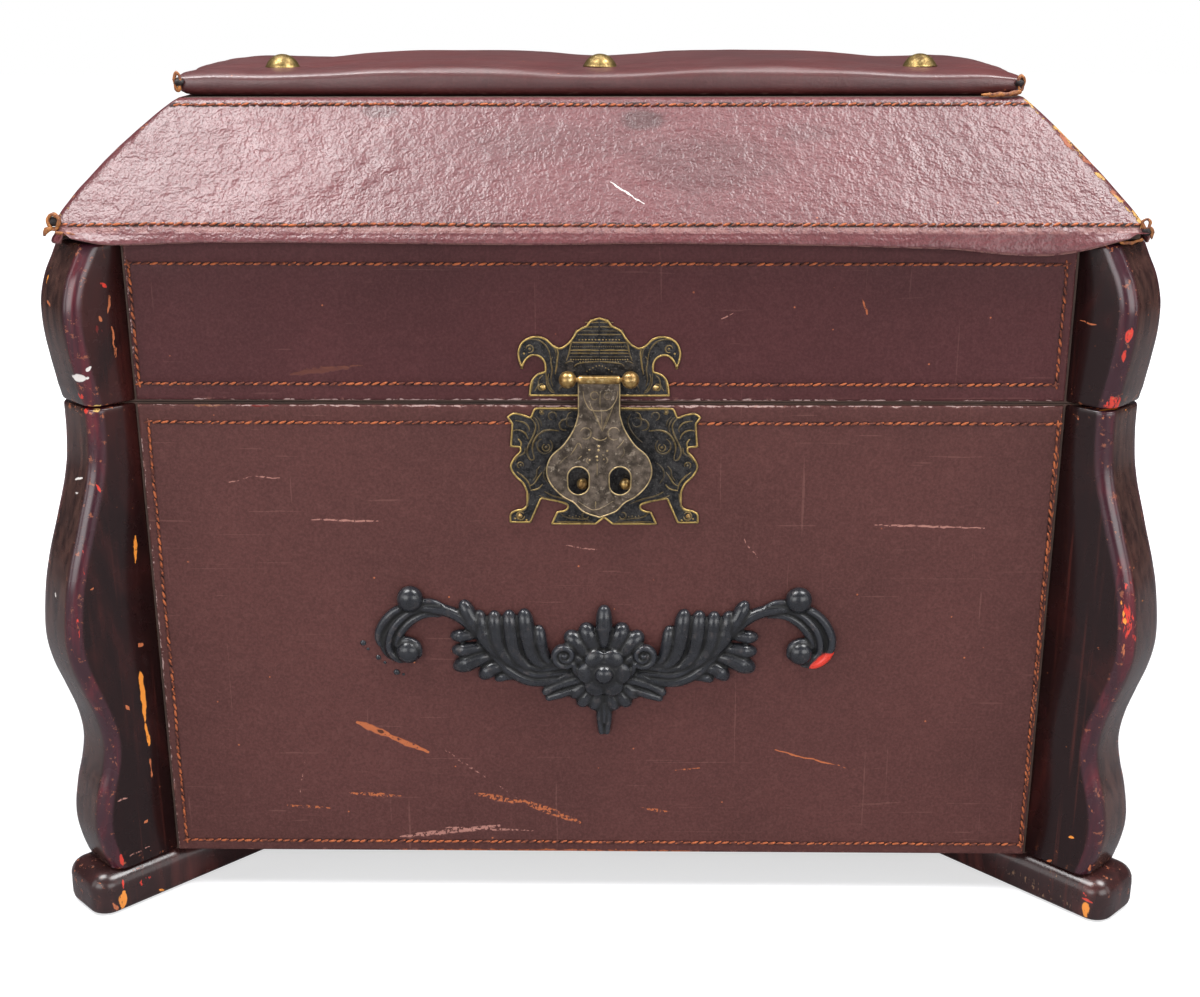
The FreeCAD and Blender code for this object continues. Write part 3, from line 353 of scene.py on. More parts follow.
postMarks = [
    (-280, -13, 320, -273, -15, 319, 3.8, 0.15, whiteChipAndHighlight), (-273, -16, 323, -270, -15, 325, 1.2, 0.25, whiteChipAndHighlight),
    (-278, -12, 312, -277, -12, 307, 3.6, 0.49, brightRed), (-286, -3, 304, -271, -13, 306, 1.7, 0.32, rawAmber),
    (-272, -13, 301, -268, -12, 303, 2.6, 0.37, rawYellow), (-276, -11, 302, -276, -12, 298, 2.0, 0.37, brightRed),
    (-293, -4, 359, -290, -8, 356, 1.8, 0.37, rawOrange), (-288, -10, 354, -285, -12, 354, 1.0, 0.32, rawOrange),
    (-275, -16, 367, -276, -18, 350, 0.8, 0.44, brightRed), (-276, -18, 350, -278, -16, 329, 0.7, 0.54, brightRed),
    (-260, -5, 364, -261, -6, 352, 0.9, 0.42, rawOrange), (-260, -5, 345, -260, -5, 328, 1.1, 0.42, rawOrange),
    (-265, -10, 351, -264, -9, 349, 1.2, 0.22, rawOrange), (-263, -8, 369, -261, -6, 367, 1.4, 0.42, brightRed),
    (-267, -12, 346, -265, -10, 341, 3.6, 0.52, deepRed), (-287, 6, 386, -294, -2, 368, 0.9, 0.38, rawAmber),
    (-289, -7, 260, -279, -13, 263, 1.0, 0.31, whiteChipAndHighlight), (-279, -13, 263, -273, -15, 263, 0.9, 0.31, whiteChipAndHighlight),
    (-296, -3, 248, -282, -14, 255, 0.7, 0.41, whiteChipAndHighlight), (-291, -9, 244, -281, -18, 245, 0.6, 0.4, whiteChipAndHighlight),
    (-274, -16, 260, -272, -16, 256, 1.0, 0.42, brightRed), (-289, -12, 243, -286, -16, 239, 1.0, 0.32, rawOrange),
    # the two solid white strokes at 185 to 204 mm on the front-left lower post are a painted highlight, drawn as white
    # chips
    (-302, -15, 204, -300, -21, 193, 1.3, 0.2, whiteChipAndHighlight), (-298, -22, 193, -298, -24, 185, 1.5, 0.15, whiteChipAndHighlight),
    (-259, -3, 231, -260, -5, 210, 1.3, 0.38, rawAmber), (-263, -7, 146, -263, -7, 113, 2.2, 0.22, rawAmber),
    (-263, -7, 113, -262, -7, 98, 1.4, 0.36, rawAmber), (-262, -7, 93, -263, -7, 69, 0.8, 0.44, rawOrange),
    (-262, -7, 162, -261, -5, 160, 1.6, 0.27, rawOrange), (-270, -15, 127, -269, -14, 124, 1.5, 0.22, rawOrange),
    (-289, -25, 52, -286, -26, 51, 1.7, 0.27, rawOrange), (-267, -12, 50, -266, -11, 51, 1.4, 0.22, rawOrange),
    (-278, -23, 70, -274, -19, 70, 0.8, 0.32, rawPink), (-280, -25, 202, -278, -23, 202, 0.9, 0.22, rawOrange),
    (-293, -30, 174, -288, -30, 162, 1.6, 0.55, brightRed), (-297, -27, 168, -291, -30, 167, 1.0, 0.42, rawOrange),
    (-279, -24, 35, -279, -23, 28, 1.6, 0.37, brightRed), (-295, -15, 32, -282, -24, 32, 1.0, 0.48, rawOrange),
    (-276, -21, 32, -266, -11, 34, 0.7, 0.48, rawPink), (-282, -23, 226, -282, -26, 208, 1.2, 0.5, brightRed),
    (-287, -30, 189, -287, -30, 169, 1.0, 0.48, brightRed), (278, -17, 349, 277, -17, 339, 2.5, 0.33, brightRed),
    (277, -17, 339, 276, -17, 330, 1.3, 0.38, brightRed), (283, -13, 335, 283, -12, 329, 1.0, 0.42, brightRed),
    (273, -14, 309, 276, -12, 303, 6.6, 0.41, brightRed), (267, -11, 302, 284, -4, 300, 1.5, 0.32, rawAmber),
    (270, -12, 299, 281, -7, 298, 2.0, 0.41, rawYellow), (274, -12, 298, 277, -10, 295, 1.8, 0.37, rawYellow),
    (287, -9, 334, 295, 1, 334, 0.8, 0.27, rawAmber), (294, -2, 346, 295, -2, 343, 1.1, 0.32, rawOrange),
    (259, -3, 296, 260, -4, 294, 1.2, 0.37, rawOrange), (256, -1, 348, 264, -9, 347, 0.6, 0.38, rawOrange),
    (252, 3, 339, 253, 2, 334, 1.0, 0.42, rawOrange), (285, -26, 213, 289, -28, 199, 1.8, 0.47, brightRed),
    (288, -28, 199, 289, -30, 177, 3.6, 0.45, brightRed), (291, -28, 194, 294, -29, 170, 2.6, 0.51, brightRed),
    (288, -25, 213, 291, -27, 199, 1.6, 0.47, brightRed), (288, -30, 177, 288, -30, 162, 1.8, 0.45, rawOrange),
    (295, -29, 170, 298, -24, 164, 1.2, 0.46, brightRed), (285, -28, 199, 287, -29, 187, 1.3, 0.42, rawAmber),
    (290, -30, 165, 295, -28, 173, 1.0, 0.44, rawAmber), (291, -27, 198, 299, -21, 196, 2.0, 0.22, rawAmber),
    (297, -21, 200, 299, -22, 193, 0.9, 0.27, rawAmber), (287, -29, 189, 288, -30, 186, 1.6, 0.27, rawAmber),
    (287, -25, 68, 291, -23, 65, 1.1, 0.27, rawAmber), (285, -26, 63, 287, -26, 60, 1.3, 0.25, whiteChipAndHighlight),
    (290, -25, 56, 294, -21, 50, 1.5, 0.32, rawYellow), (273, -17, 47, 275, -20, 48, 1.2, 0.32, rawAmber),
    (278, -23, 47, 288, -25, 43, 2.6, 0.53, rawPink), (280, -24, 72, 285, -26, 63, 0.9, 0.46, rawOrange),
    (284, -24, 33, 285, -22, 27, 1.4, 0.38, rawOrange), (264, -9, 25, 266, -11, 28, 1.0, 0.42, rawOrange),
]
footMarks = [
    (-279, -27, 12, -280, -28, 3, 3.8, 0.36, rawAmber), (-279, -26, 20, -279, -27, 15, 1.0, 0.38, brightRed),
    (-306, -22, 5, -285, -31, 2, 1.9, 0.47, rawOrange), (-284, -32, 8, -281, -31, 1, 1.6, 0.43, rawOrange),
    (-315, -8, 14, -314, -10, 6, 2.4, 0.43, rawOrange), (-263, -11, 5, -261, -9, 2, 1.2, 0.32, rawAmber),
    (-276, -21, 22, -262, -6, 23, 0.8, 0.48, rawPink), (-271, -20, 13, -267, -15, 15, 2.8, 0.53, brightRed),
    (283, -30, 12, 283, -31, 3, 2.8, 0.34, rawAmber), (281, -29, 14, 286, -32, 13, 1.5, 0.32, brightRed),
    (280, -25, 21, 282, -30, 16, 1.0, 0.38, brightRed), (314, -12, 16, 315, -10, 12, 2.2, 0.37, rawOrange),
    (301, -24, 19, 306, -19, 18, 1.4, 0.44, rawOrange), (252, 0, 8, 271, -19, 3, 2.2, 0.57, rawTan),
    (242, 10, 10, 261, -10, 11, 2.6, 0.57, rawTan), (261, -8, 19, 277, -22, 24, 2.0, 0.59, rawTan),
    (271, -19, 9, 281, -28, 2, 1.8, 0.53, rawTan),
]
lacquerLooks = {
    "postLacquer": {"deep": (0.012, 0.0040, 0.0042), "base": (0.040, 0.0085, 0.0075), "marks": postMarks, "haze": 0.24},
    "footLacquer": {"deep": (0.024, 0.0095, 0.0095), "base": (0.085, 0.024, 0.021), "marks": footMarks, "haze": 0.45},
}


def lacquerMaterial(name, look):
    coat = surface(name)
    coat.base(coat.patches(0.42, 0.72, 1.0, 4.0, 0.6, 0.8, coat.stretched((26, 26, 9))), look["deep"], look["base"])
    coat.layer((0.11, 0.025, 0.018), coat.patches(0.55, 0.8, 1.0, 3.0, where=coat.stretched((320, 320, 8))), 0.35)
    zone = coat.attribute("zone")  # 0 on the faces, 1 on the outer edge
    nose = coat.step(zone, 0.72, 0.97)
    # lighter brown on the outer face: partly wood fibres, partly painted sheen where light falls on that face
    fibresAndSheen = coat.patches(0.3, 0.7, 1.0, 4.0, 0.6, 0.5, coat.stretched((260, 260, 14)))
    coat.layer(coat.mix(fibresAndSheen, (0.020, 0.0095, 0.0085), (0.075, 0.036, 0.028)), nose, 0.7)
    # plum on the rounded corner: lacquer tone with a painted highlight, the sheen that light puts along this corner
    band = coat.mul(coat.step(zone, 0.03, 0.2), coat.rest(nose))
    flameAndSheen = coat.patches(0.45, 0.75, 1.0, 4.0, 0.65, 0.6, coat.stretched((70, 70, 12)))
    coat.layer(coat.mix(flameAndSheen, (0.038, 0.009, 0.016), (0.13, 0.012, 0.020)), band, 0.85)
    bare = 0.0
    for mask, tint in coat.strokes(look["marks"], (1.5, 1.5, 0.4)):
        coat.layer(tint, coat.step(mask, 0.2, 0.8))
        bare = coat.most(bare, mask)
    nick = coat.mul(coat.patches(0.60, 0.66, 210.0, 4.0, 0.72), coat.attribute("wear"))
    coat.layer(rawOrange, nick)
    coat.layer(rawOrange, coat.patches(0.75, 0.79, 420.0, 2.0, 0.6), 0.7)
    bare = coat.most(bare, nick)
    rough = coat.add(coat.add(0.2, coat.mul(coat.noise(60.0, 4.0), 0.14)), coat.mul(bare, 0.4))
    varnish = coat.add(0.25, coat.mul(coat.most(band, coat.mul(nose, 0.8)), 0.5))
    height = coat.sub(coat.mul(coat.noise(55.0, 3.0), 0.8), bare)
    return coat.finish(rough, height, 0.35, 0.0007, {
        "Specular IOR Level": look["haze"], "Coat Weight": varnish, "Coat Roughness": 0.22})


lacquers = {name: lacquerMaterial(name, look) for name, look in lacquerLooks.items()}

metalLooks = {
    "agedBrass": {"deep": (0.16, 0.085, 0.03), "base": (0.58, 0.38, 0.14), "light": (0.80, 0.62, 0.32),
                  "rough": 0.26, "scale": 130.0},
    "nailBronze": {"deep": (0.09, 0.055, 0.020), "base": (0.24, 0.165, 0.060), "light": (0.44, 0.34, 0.15),
                   "rough": 0.36, "scale": 150.0},
    "hingeBrass": {"deep": (0.12, 0.07, 0.03), "base": (0.42, 0.28, 0.11), "light": (0.6, 0.45, 0.22),
                   "rough": 0.34, "scale": 90.0},
}


def metalMaterial(name, look):
    metal = surface(name)
    tarnish = metal.patches(0.34, 0.62, look["scale"], 5.0, 0.65)
    metal.base(tarnish, look["deep"], look["base"])
    metal.layer(look["light"], metal.patches(0.5, 0.74, look["scale"] * 3.1, 4.0, 0.6), 0.75)
    rough = metal.sub(look["rough"] + 0.22, metal.mul(tarnish, 0.22))
    return metal.finish(rough, metal.noise(look["scale"] * 5.0, 3.0), 0.2, 0.0003, {"Metallic": 0.9})


metals = {name: metalMaterial(name, look) for name, look in metalLooks.items()}

plateLooks = {
    "plateBronze": {"deep": (0.012, 0.0120, 0.0135), "base": (0.055, 0.052, 0.052), "light": (0.24, 0.22, 0.20),
                    "rim": (0.58, 0.40, 0.14), "scale": 330.0, "glint": 0.5, "rough": 0.42, "metal": 0.7, "bump": 0.6},
    "haspBronze": {"deep": (0.055, 0.042, 0.032), "base": (0.20, 0.155, 0.120), "light": (0.52, 0.43, 0.33),
                   "rim": (0.56, 0.42, 0.22), "scale": 150.0, "glint": 0.65, "rough": 0.42, "metal": 0.75, "bump": 0.3},
}


def plateMaterial(name, look):
    metal = surface(name)
    metal.base(metal.patches(0.36, 0.66, look["scale"], 5.0, 0.68), look["deep"], look["base"])
    metal.layer(look["light"], metal.patches(0.56, 0.72, look["scale"] * 2.7, 4.0, 0.6), look["glint"])
    rubbed = metal.attribute("wear")
    bright = metal.mul(rubbed, metal.add(0.35, metal.mul(metal.patches(0.26, 0.56, 300.0, 4.0, 0.6), 0.65)))
    metal.layer(look["rim"], bright)
    metallic = metal.add(look["metal"], metal.mul(rubbed, 0.95 - look["metal"]))
    chased = metal.add(metal.noise(420.0, 3.0), metal.mul(metal.noise(1500.0, 2.0), 0.5))
    rough = metal.sub(look["rough"], metal.mul(bright, 0.12))
    return metal.finish(rough, chased, look["bump"], 0.0005, {"Metallic": metallic})


plates = {name: plateMaterial(name, look) for name, look in plateLooks.items()}


def carvingMaterial(name):
    wood = surface(name)
    wood.base(wood.patches(0.35, 0.7, 90.0, 4.0, 0.6), (0.0045, 0.0046, 0.0056), (0.011, 0.011, 0.013))
    edge, groove = wood.attribute("wear"), wood.attribute("groove")
    # ridges painted lighter as a painted highlight, grooves painted near-black as painted shade
    wood.layer((0.026, 0.028, 0.035), edge, 0.7)
    wood.layer((0.0012, 0.0010, 0.0010), groove)
    # pale specks on the ridges: rubbed wear with painted highlight
    wood.layer((0.12, 0.09, 0.08), wood.mul(edge, wood.patches(0.54, 0.68, 170.0, 5.0, 0.7)), 0.4)
    for mask, tint in wood.strokes([(121, -4, 147.5, 133.5, -4, 156, 4.6, 0.2, brightRed)]):
        wood.layer(tint, mask)
    rough = wood.add(0.17, wood.mul(wood.noise(130.0, 4.0), 0.2))
    return wood.finish(wood.add(rough, wood.mul(groove, 0.6)), wood.noise(600.0, 4.0), 0.2, 0.0003)


def boardMaterial(name):
    wood = surface(name)
    rings = wood.patches(0.3, 0.7, 1.0, 5.0, 0.6, 1.2, wood.stretched((2.5, 60, 60)))
    wood.base(rings, (0.020, 0.009, 0.006), (0.045, 0.020, 0.013))
    fibre = wood.noise(1.0, 3.0, where=wood.stretched((12, 500, 500)))
    wood.layer((0.10, 0.05, 0.03), fibre, 0.4)
    return wood.finish(0.7, fibre, 0.4, 0.0005)


def liningMaterial(name):
    cloth = surface(name)
    warp, weft = (cloth.node("ShaderNodeTexWave", {"Vector": where, "Scale": 260.0, "Distortion": 0.6},
                             bands_direction="DIAGONAL").outputs["Fac"]
                  for where in (cloth.where, cloth.stretched((-1, 1, 1))))
    weave = cloth.mul(warp, weft)
    cloth.base(cloth.patches(0.35, 0.75, 8.0, 4.0), (0.16, 0.032, 0.03), (0.22, 0.05, 0.045))
    cloth.layer((0.34, 0.11, 0.1), weave, 0.35)
    return cloth.finish(0.85, weave, 0.4, 0.0004, {"Sheen Weight": 0.3})


def threadMaterial(name):
    yarn = surface(name)
    yarn.base(yarn.patches(0.38, 0.62, 320.0, 3.0), (0.10, 0.020, 0.009), (0.40, 0.098, 0.026))
    twist = yarn.node("ShaderNodeTexWave", {"Vector": yarn.where, "Scale": 900.0, "Distortion": 1.0})
    return yarn.finish(0.65, twist.outputs["Fac"], 0.4, 0.0002)


def tornMaterial(name):
    hide = surface(name)
    raw = hide.mix(hide.patches(0.35, 0.65, 300.0, 4.0, 0.7), (0.13, 0.032, 0.014), (0.44, 0.16, 0.03))
    # wear near 1 gives the raw torn edge; wear 0 gives near-black, painted shade inside the torn holes
    hide.base(hide.attribute("wear"), (0.010, 0.005, 0.005), raw)
    return hide.finish(0.6, hide.noise(420.0, 4.0, 0.7), 0.8, 0.0006)


carving = carvingMaterial("blackCarving")
boards = boardMaterial("sawnBoard")
linings = liningMaterial("redLining")
thread = threadMaterial("orangeThread")
torn = tornMaterial("tornLeather")
print("materials made")


# mesh helpers

def linked(name, data):
    piece = bpy.data.objects.new(name, data)
    bpy.context.scene.collection.objects.link(piece)
    return piece


def newMesh(name, points, faces, edges=(), **values):  # values: floats for every point
    mesh = bpy.data.meshes.new(name)
    mesh.from_pydata([tuple(p) for p in points], edges, faces)
    setValues(mesh, **values)
    return mesh


def setValues(mesh, **values):
    for label, amounts in values.items():
        mesh.attributes.new(label, "FLOAT", "POINT").data.foreach_set("value", list(amounts))


def enlist(piece, body, node=None):  # body and the CAD node that the piece replaces
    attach(piece, body)
    if node:
        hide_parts(node)
    return piece


def outwards(mesh, weld=None):
    shell = bmesh.new()
    shell.from_mesh(mesh)
    if weld:
        bmesh.ops.remove_doubles(shell, verts=shell.verts, dist=weld)
    bmesh.ops.recalc_face_normals(shell, faces=shell.faces)
    shell.to_mesh(mesh)
    shell.free()
    return mesh


def dress(mesh, material):
    mesh.materials.clear()
    mesh.materials.append(material)
    mesh.shade_smooth()


def addPiece(name, points, faces, material, body, slotName, node=None, **values):
    mesh = outwards(newMesh(name, points, faces, **values))
    dress(mesh, material)
    return enlist(linked(name, mesh), body, node)


def evaluated(piece):
    return bpy.data.meshes.new_from_object(piece.evaluated_get(bpy.context.evaluated_depsgraph_get()))


def bakeModifiers(piece):  # the evaluated mesh as a plain mesh
    made = evaluated(piece)
    piece.modifiers.clear()
    piece.data = made
    return piece


def voxelRemesh(piece, size):
    remesh = piece.modifiers.new("remesh", "REMESH")
    remesh.mode, remesh.voxel_size = "VOXEL", size * mm
    return bakeModifiers(piece).data


def pointsOf(mesh):
    spots = np.zeros(len(mesh.vertices) * 3)
    mesh.vertices.foreach_get("co", spots)
    return spots.reshape(-1, 3)


def gridFaces(rows, columns, closedRows=False, closedColumns=False):
    faces = []
    for i in range(rows if closedRows else rows - 1):
        for j in range(columns if closedColumns else columns - 1):
            low, high, after = i * columns, (i + 1) % rows * columns, (j + 1) % columns
            faces.append((low + j, low + after, high + after, high + j))
    return faces


def tubeFaces(rings, size):  # rings of equal size with both ends closed by one face
    last = (rings - 1) * size
    return gridFaces(rings, size, False, True) + [tuple(range(size)), tuple(range(last, last + size))]


def poleFaces(rows, size):  # rows of points between two single end points
    faces = [(1 + a, 1 + b, 1 + c, 1 + d) for a, b, c, d in gridFaces(rows, size, False, True)]
    last = rows * size + 1
    for k in range(size):
        after = (k + 1) % size
        faces.append((0, 1 + after, 1 + k))
        faces.append((last, last - size + k, last - size + after))
    return faces


def smoothCurve(keys, count=None, at=None):  # Catmull-Rom through keys, sampled evenly or at given shares
    keys = np.array(keys, float)
    padded = np.vstack([2 * keys[0] - keys[1], keys, 2 * keys[-1] - keys[-2]])
    shares = np.linspace(0, len(keys) - 1, count) if at is None else np.array(at) * (len(keys) - 1)
    low = np.clip(shares.astype(int), 0, len(keys) - 2)
    t = (shares - low)[:, None]
    a, b, c, d = (padded[low + k] for k in range(4))
    return 0.5 * (2 * b + (c - a) * t + (2 * a - 5 * b + 4 * c - d) * t ** 2 + (3 * b - a - 3 * c + d) * t ** 3)


def curveAt(keys, value):  # keys of (place, value), sorted
    xs = [k[0] for k in keys]
    index = limit(np.searchsorted(xs, value) - 1, 0, len(xs) - 2)
    share = (index + (value - xs[index]) / (xs[index + 1] - xs[index])) / (len(xs) - 1)
    return float(smoothCurve(keys, at=[limit(share, 0, 1)])[0][1])


def runLengths(path):  # length of the path up to each of its points
    return np.concatenate([[0], np.cumsum(np.linalg.norm(np.diff(path, axis=0), axis=1))])


def circle(count, sweep=2 * math.pi):
    return [sweep * k / count for k in range(count)]


# leather panels on the boards

panelLook = {"cell": 6.0, "edgeRound": 1.3, "wave": 0.28, "grooveDepth": 0.3, "grooveWidth": 1.6, "wornRim": 1.8,
             "stitchStep": 12, "steps": (0, 0.25, 0.6, 1.3, 2.4)}
panelStitches = {  # how far the rows lie from the left, right, lower and upper edge, in mm
    "base_front": (5.4, 2.4, 6.7, 10.2), "lid_front": (2.4, 5.4, 9.3, 14.1), "base": (6, 6, 7, 8), "lid": (6, 6, 9, 14),
}
stitchRuns = {"base": [], "lid": []}  # each run: list of (point, outward normal)


def gridLines(low, high, insets, look):
    lines = [low + s for s in look["steps"]] + [high - s for s in look["steps"]]
    for row in (low + insets[0], high - insets[1]):
        lines += [row + s * look["grooveWidth"] for s in (-1, -0.5, 0, 0.5, 1)]
    count = int((high - low) / look["cell"])
    lines += [low + 3 + (high - low - 6) * k / count for k in range(count + 1)]
    kept = []
    for line in sorted(lines):
        if low <= line <= high and (not kept or line - kept[-1] > 0.12):
            kept.append(line)
    kept[-1] = high
    return kept


def leatherPanel(body, side, look=panelLook):
    node = "%s_%s_leather" % (body, side)
    low, high = (Vector(c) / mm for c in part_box(node))
    middle = (Vector(cadBox[0]) + Vector(cadBox[1])) / 2 / mm
    thin = min(range(3), key=lambda k: (high - low)[k])
    across = 1 - thin
    outward = 1 if (low[thin] + high[thin]) / 2 > middle[thin] else -1
    insets = panelStitches.get(body + "_" + side, panelStitches[body])
    u0, u1, v0, v1 = (low[across] + insets[0], high[across] - insets[1], low[2] + insets[2], high[2] - insets[3])
    columns = gridLines(low[across], high[across], insets[:2], look)
    rows = gridLines(low[2], high[2], insets[2:], look)
    face, back = (high[thin], low[thin]) if outward > 0 else (low[thin], high[thin])

    def outerAt(u, v):
        border = min(u - low[across], high[across] - u, v - low[2], high[2] - v)
        drop, edge = 0.0, look["edgeRound"]
        if border < edge:
            drop = edge - math.sqrt(max(edge ** 2 - (edge - border) ** 2, 0))
        swell = sway(u * 0.011, v * 0.013, thin * 7 + outward * 3 + low[2] * 0.01)
        swell += 0.5 * sway(u * 0.035, v * 0.04, thin * 5 + outward)
        out = look["wave"] * swell * min(border / 12, 1)
        width = look["grooveWidth"] / 1.7
        groove = max(bell(min(abs(u - u0), abs(u1 - u)), width) * (v0 - 1 < v < v1 + 1),
                     bell(min(abs(v - v0), abs(v1 - v)), width) * (u0 - 1 < u < u1 + 1))
        return face + outward * (out - drop - look["grooveDepth"] * groove), border, groove

    def pointAt(u, v, depth):
        point = Vector((0, 0, v))
        point[across], point[thin] = u, depth
        return point * mm

    points, wear, holes = [], [], []
    for v in rows:
        for u in columns:
            depth, border, groove = outerAt(u, v)
            points.append(pointAt(u, v, depth))
            wear.append(max(0.0, 1 - border / look["wornRim"]))
            # the groove along each stitch row, later painted dark as shade of the stitch holes
            holes.append(groove)
    n, m = len(rows), len(columns)
    faces = gridFaces(n, m)
    rim = list(range(m)) + [i * m + m - 1 for i in range(1, n)]
    rim += [(n - 1) * m + j for j in range(m - 2, -1, -1)] + [i * m for i in range(n - 2, 0, -1)]
    first = len(points)
    points += [pointAt(columns[index % m], rows[index // m], back) for index in rim]
    wear += [0.3] * len(rim)
    holes += [0.0] * len(rim)
    for k in range(len(rim)):
        after = (k + 1) % len(rim)
        faces.append((rim[k], rim[after], first + after, first + k))
    faces.append(tuple(range(first, len(points))))
    addPiece(side + "Panel" + body.title(), points, faces, leathers["bodyLeather" if body == "base" else "lidLeather"],
             body, "body_leather", node, wear=wear, holes=holes)

    corners = [(u0, v0), (u1, v0), (u1, v1), (u0, v1)]
    normal = Vector((0, 0, 0))
    normal[thin] = outward
    for k, (start, end) in enumerate(zip(corners, corners[1:] + corners[:1])):
        if body == "lid" and side != "front" and k == 2:  # this row lies under the hem
            continue
        length = math.dist(start, end)
        steps = max(int(length / look["stitchStep"]), 2)
        run = []
        for t in (s / steps for s in range(steps + 1)):
            drift = 0.45 * sway(t * length * 0.03, k * 3.1, low[2] * 0.1 + thin)
            u = start[0] + (end[0] - start[0]) * t + (drift if k % 2 else 0)
            v = start[1] + (end[1] - start[1]) * t + (0 if k % 2 else drift)
            run.append((pointAt(u, v, outerAt(u, v)[0] + outward * 0.3), normal))
        stitchRuns[body].append(run)


for body in ("base", "lid"):
    for side in ("front", "back", "left", "right"):
        leatherPanel(body, side)
print("leather panels made")


# the cover over the slopes, with its hem

coverLook = {"halfX": 285.04, "front": -6.0, "rear": 356.0, "foldHeight": 397.5, "topHeight": 460.2, "run": 56.0,
             "rise": 62.9, "skin": 1.5, "flare": 4.4, "cell": 3.4, "hemTop": 395.8, "hemDrop": 5.8}
frontHem = [(-285, 396), (-275, 392.6), (-256, 389.5), (-200, 390.6), (-120, 390.3), (-40, 389.6), (40, 390.2),
            (130, 389.0), (185, 387.2), (215, 384.4), (235, 384.0), (252, 386.8), (270, 391.5), (285, 395.5)]
slant = math.atan2(coverLook["rise"], coverLook["run"])


def slopeInset(height, look=coverLook):
    return (height - look["foldHeight"]) / look["rise"] * look["run"]


def hemBottom(side, along):
    if side == 0:
        return curveAt(frontHem, along)
    return 390 + 1.3 * sway(along * 0.02, side * 4.7, 0.3) + 0.9 * sway(along * 0.06, side, 2)


def coverRing(inset, height, radius, look=coverLook):
    halfX, low, high = look["halfX"] - inset, look["front"] + inset, look["rear"] - inset
    midY, halfY = (low + high) / 2, (high - low) / 2
    countX, countY = int(2 * look["halfX"] / look["cell"]), int((look["rear"] - look["front"]) / look["cell"])
    ring = []
    for side, (half, other, count) in enumerate(((halfX, halfY, countX), (halfY, halfX, countY)) * 2):
        for k in range(count + 1):
            u = -1 + 2 * k / count
            ring.append((side, u * (half - radius), other, 0.0, u))
        for k in range(1, 5):
            ring.append((side, half - radius, other, k / 5 * math.pi / 2, 1.0))
    points = []
    for side, along, other, turn, u in ring:
        base = Vector((along + radius * math.sin(turn), -(other - radius) - radius * math.cos(turn), 0))
        normal = Vector((math.sin(turn), -math.cos(turn), 0))
        for _ in range(side):
            base, normal = Vector((-base.y, base.x, 0)), Vector((-normal.y, normal.x, 0))
        points.append((base.x, base.y + midY, height, normal, side, along, u))
    return points


random.seed(11)
bubbles = [(30, 446, 12, 6, -0.5), (180, 415, 12, 6, -0.5), (-150, 417, 9, 5, 0.5), (-176, 411, 8, 5, 0.4)]
for _ in range(44):
    size = random.uniform(2.6, 4.8)
    bubbles.append((random.gauss(-138, 42), random.gauss(430, 13), size, size * 0.6, random.uniform(0.2, 0.5)))
for _ in range(14):
    size = random.uniform(3, 6)
    bubbles.append((random.uniform(-40, 250), random.uniform(405, 452), size, size * 0.6, random.uniform(0.15, 0.35)))


def coverSwell(side, along, height, look=coverLook):
    share = (height - look["foldHeight"]) / look["rise"]
    swell = 0.34 * sway(along * 0.012, height * 0.02, side * 9.1)
    swell += 0.20 * sway(along * 0.05, height * 0.06, side * 3.7)
    swell += 0.16 * sway(along * 0.13, height * 0.16, side * 5.1)
    if side == 0:  # loose bubbles, most of them on the left of the front slope
        for cx, cz, rx, rz, lift in bubbles:
            if abs(along - cx) < 3 * rx and abs(height - cz) < 3 * rz:
                swell += lift * bell(along - cx, rx) * bell(height - cz, rz)
    return swell * max(min(share * 6, (1 - share) * 6, 1), 0)


def hipPush(point, look=coverLook):  # the hips bulge outwards, the left one more than the right
    share = (point.z - look["foldHeight"]) / look["rise"]
    if not 0 < share < 1:
        return point
    inset = share * look["run"]
    nearX = look["halfX"] - inset - abs(point.x)
    nearY = min(point.y - look["front"] - inset, look["rear"] - inset - point.y)
    amount = math.sin(math.pi * share ** 0.85) ** 0.6 * bell(max(nearX, 0), 34) * bell(max(nearY, 0), 34)
    sideX, sideY = math.copysign(1, point.x), math.copysign(1, point.y - 175)
    return point + Vector((sideX * amount * (8.9 if sideX < 0 else 4.2), sideY * amount * 1.5, 0))


def coverLevels(look=coverLook, count=34):  # inset, height, corner radius, zone and how far the level stands out
    levels = []
    for k in range(count + 1):
        height = look["topHeight"] + (look["foldHeight"] + 1.4 - look["topHeight"]) * k / count
        radius = 2.0 + 2.0 * (k / count) + 3.5 * math.sin(math.pi * k / count)
        levels.append((slopeInset(height), height, radius, "slope", 0.0))
    levels += [(0.45, 397.9, 5.0, "fold", 0.0), (0.1, 396.9, 5.0, "fold", 0.6), (0.0, look["hemTop"], 5.0, "fold", 1.4)]
    for k in range(1, 9):
        levels.append((0.15 * math.sin(k), look["hemTop"] - look["hemDrop"] * k / 8, 6.0, "hem", 1.4))
    return levels


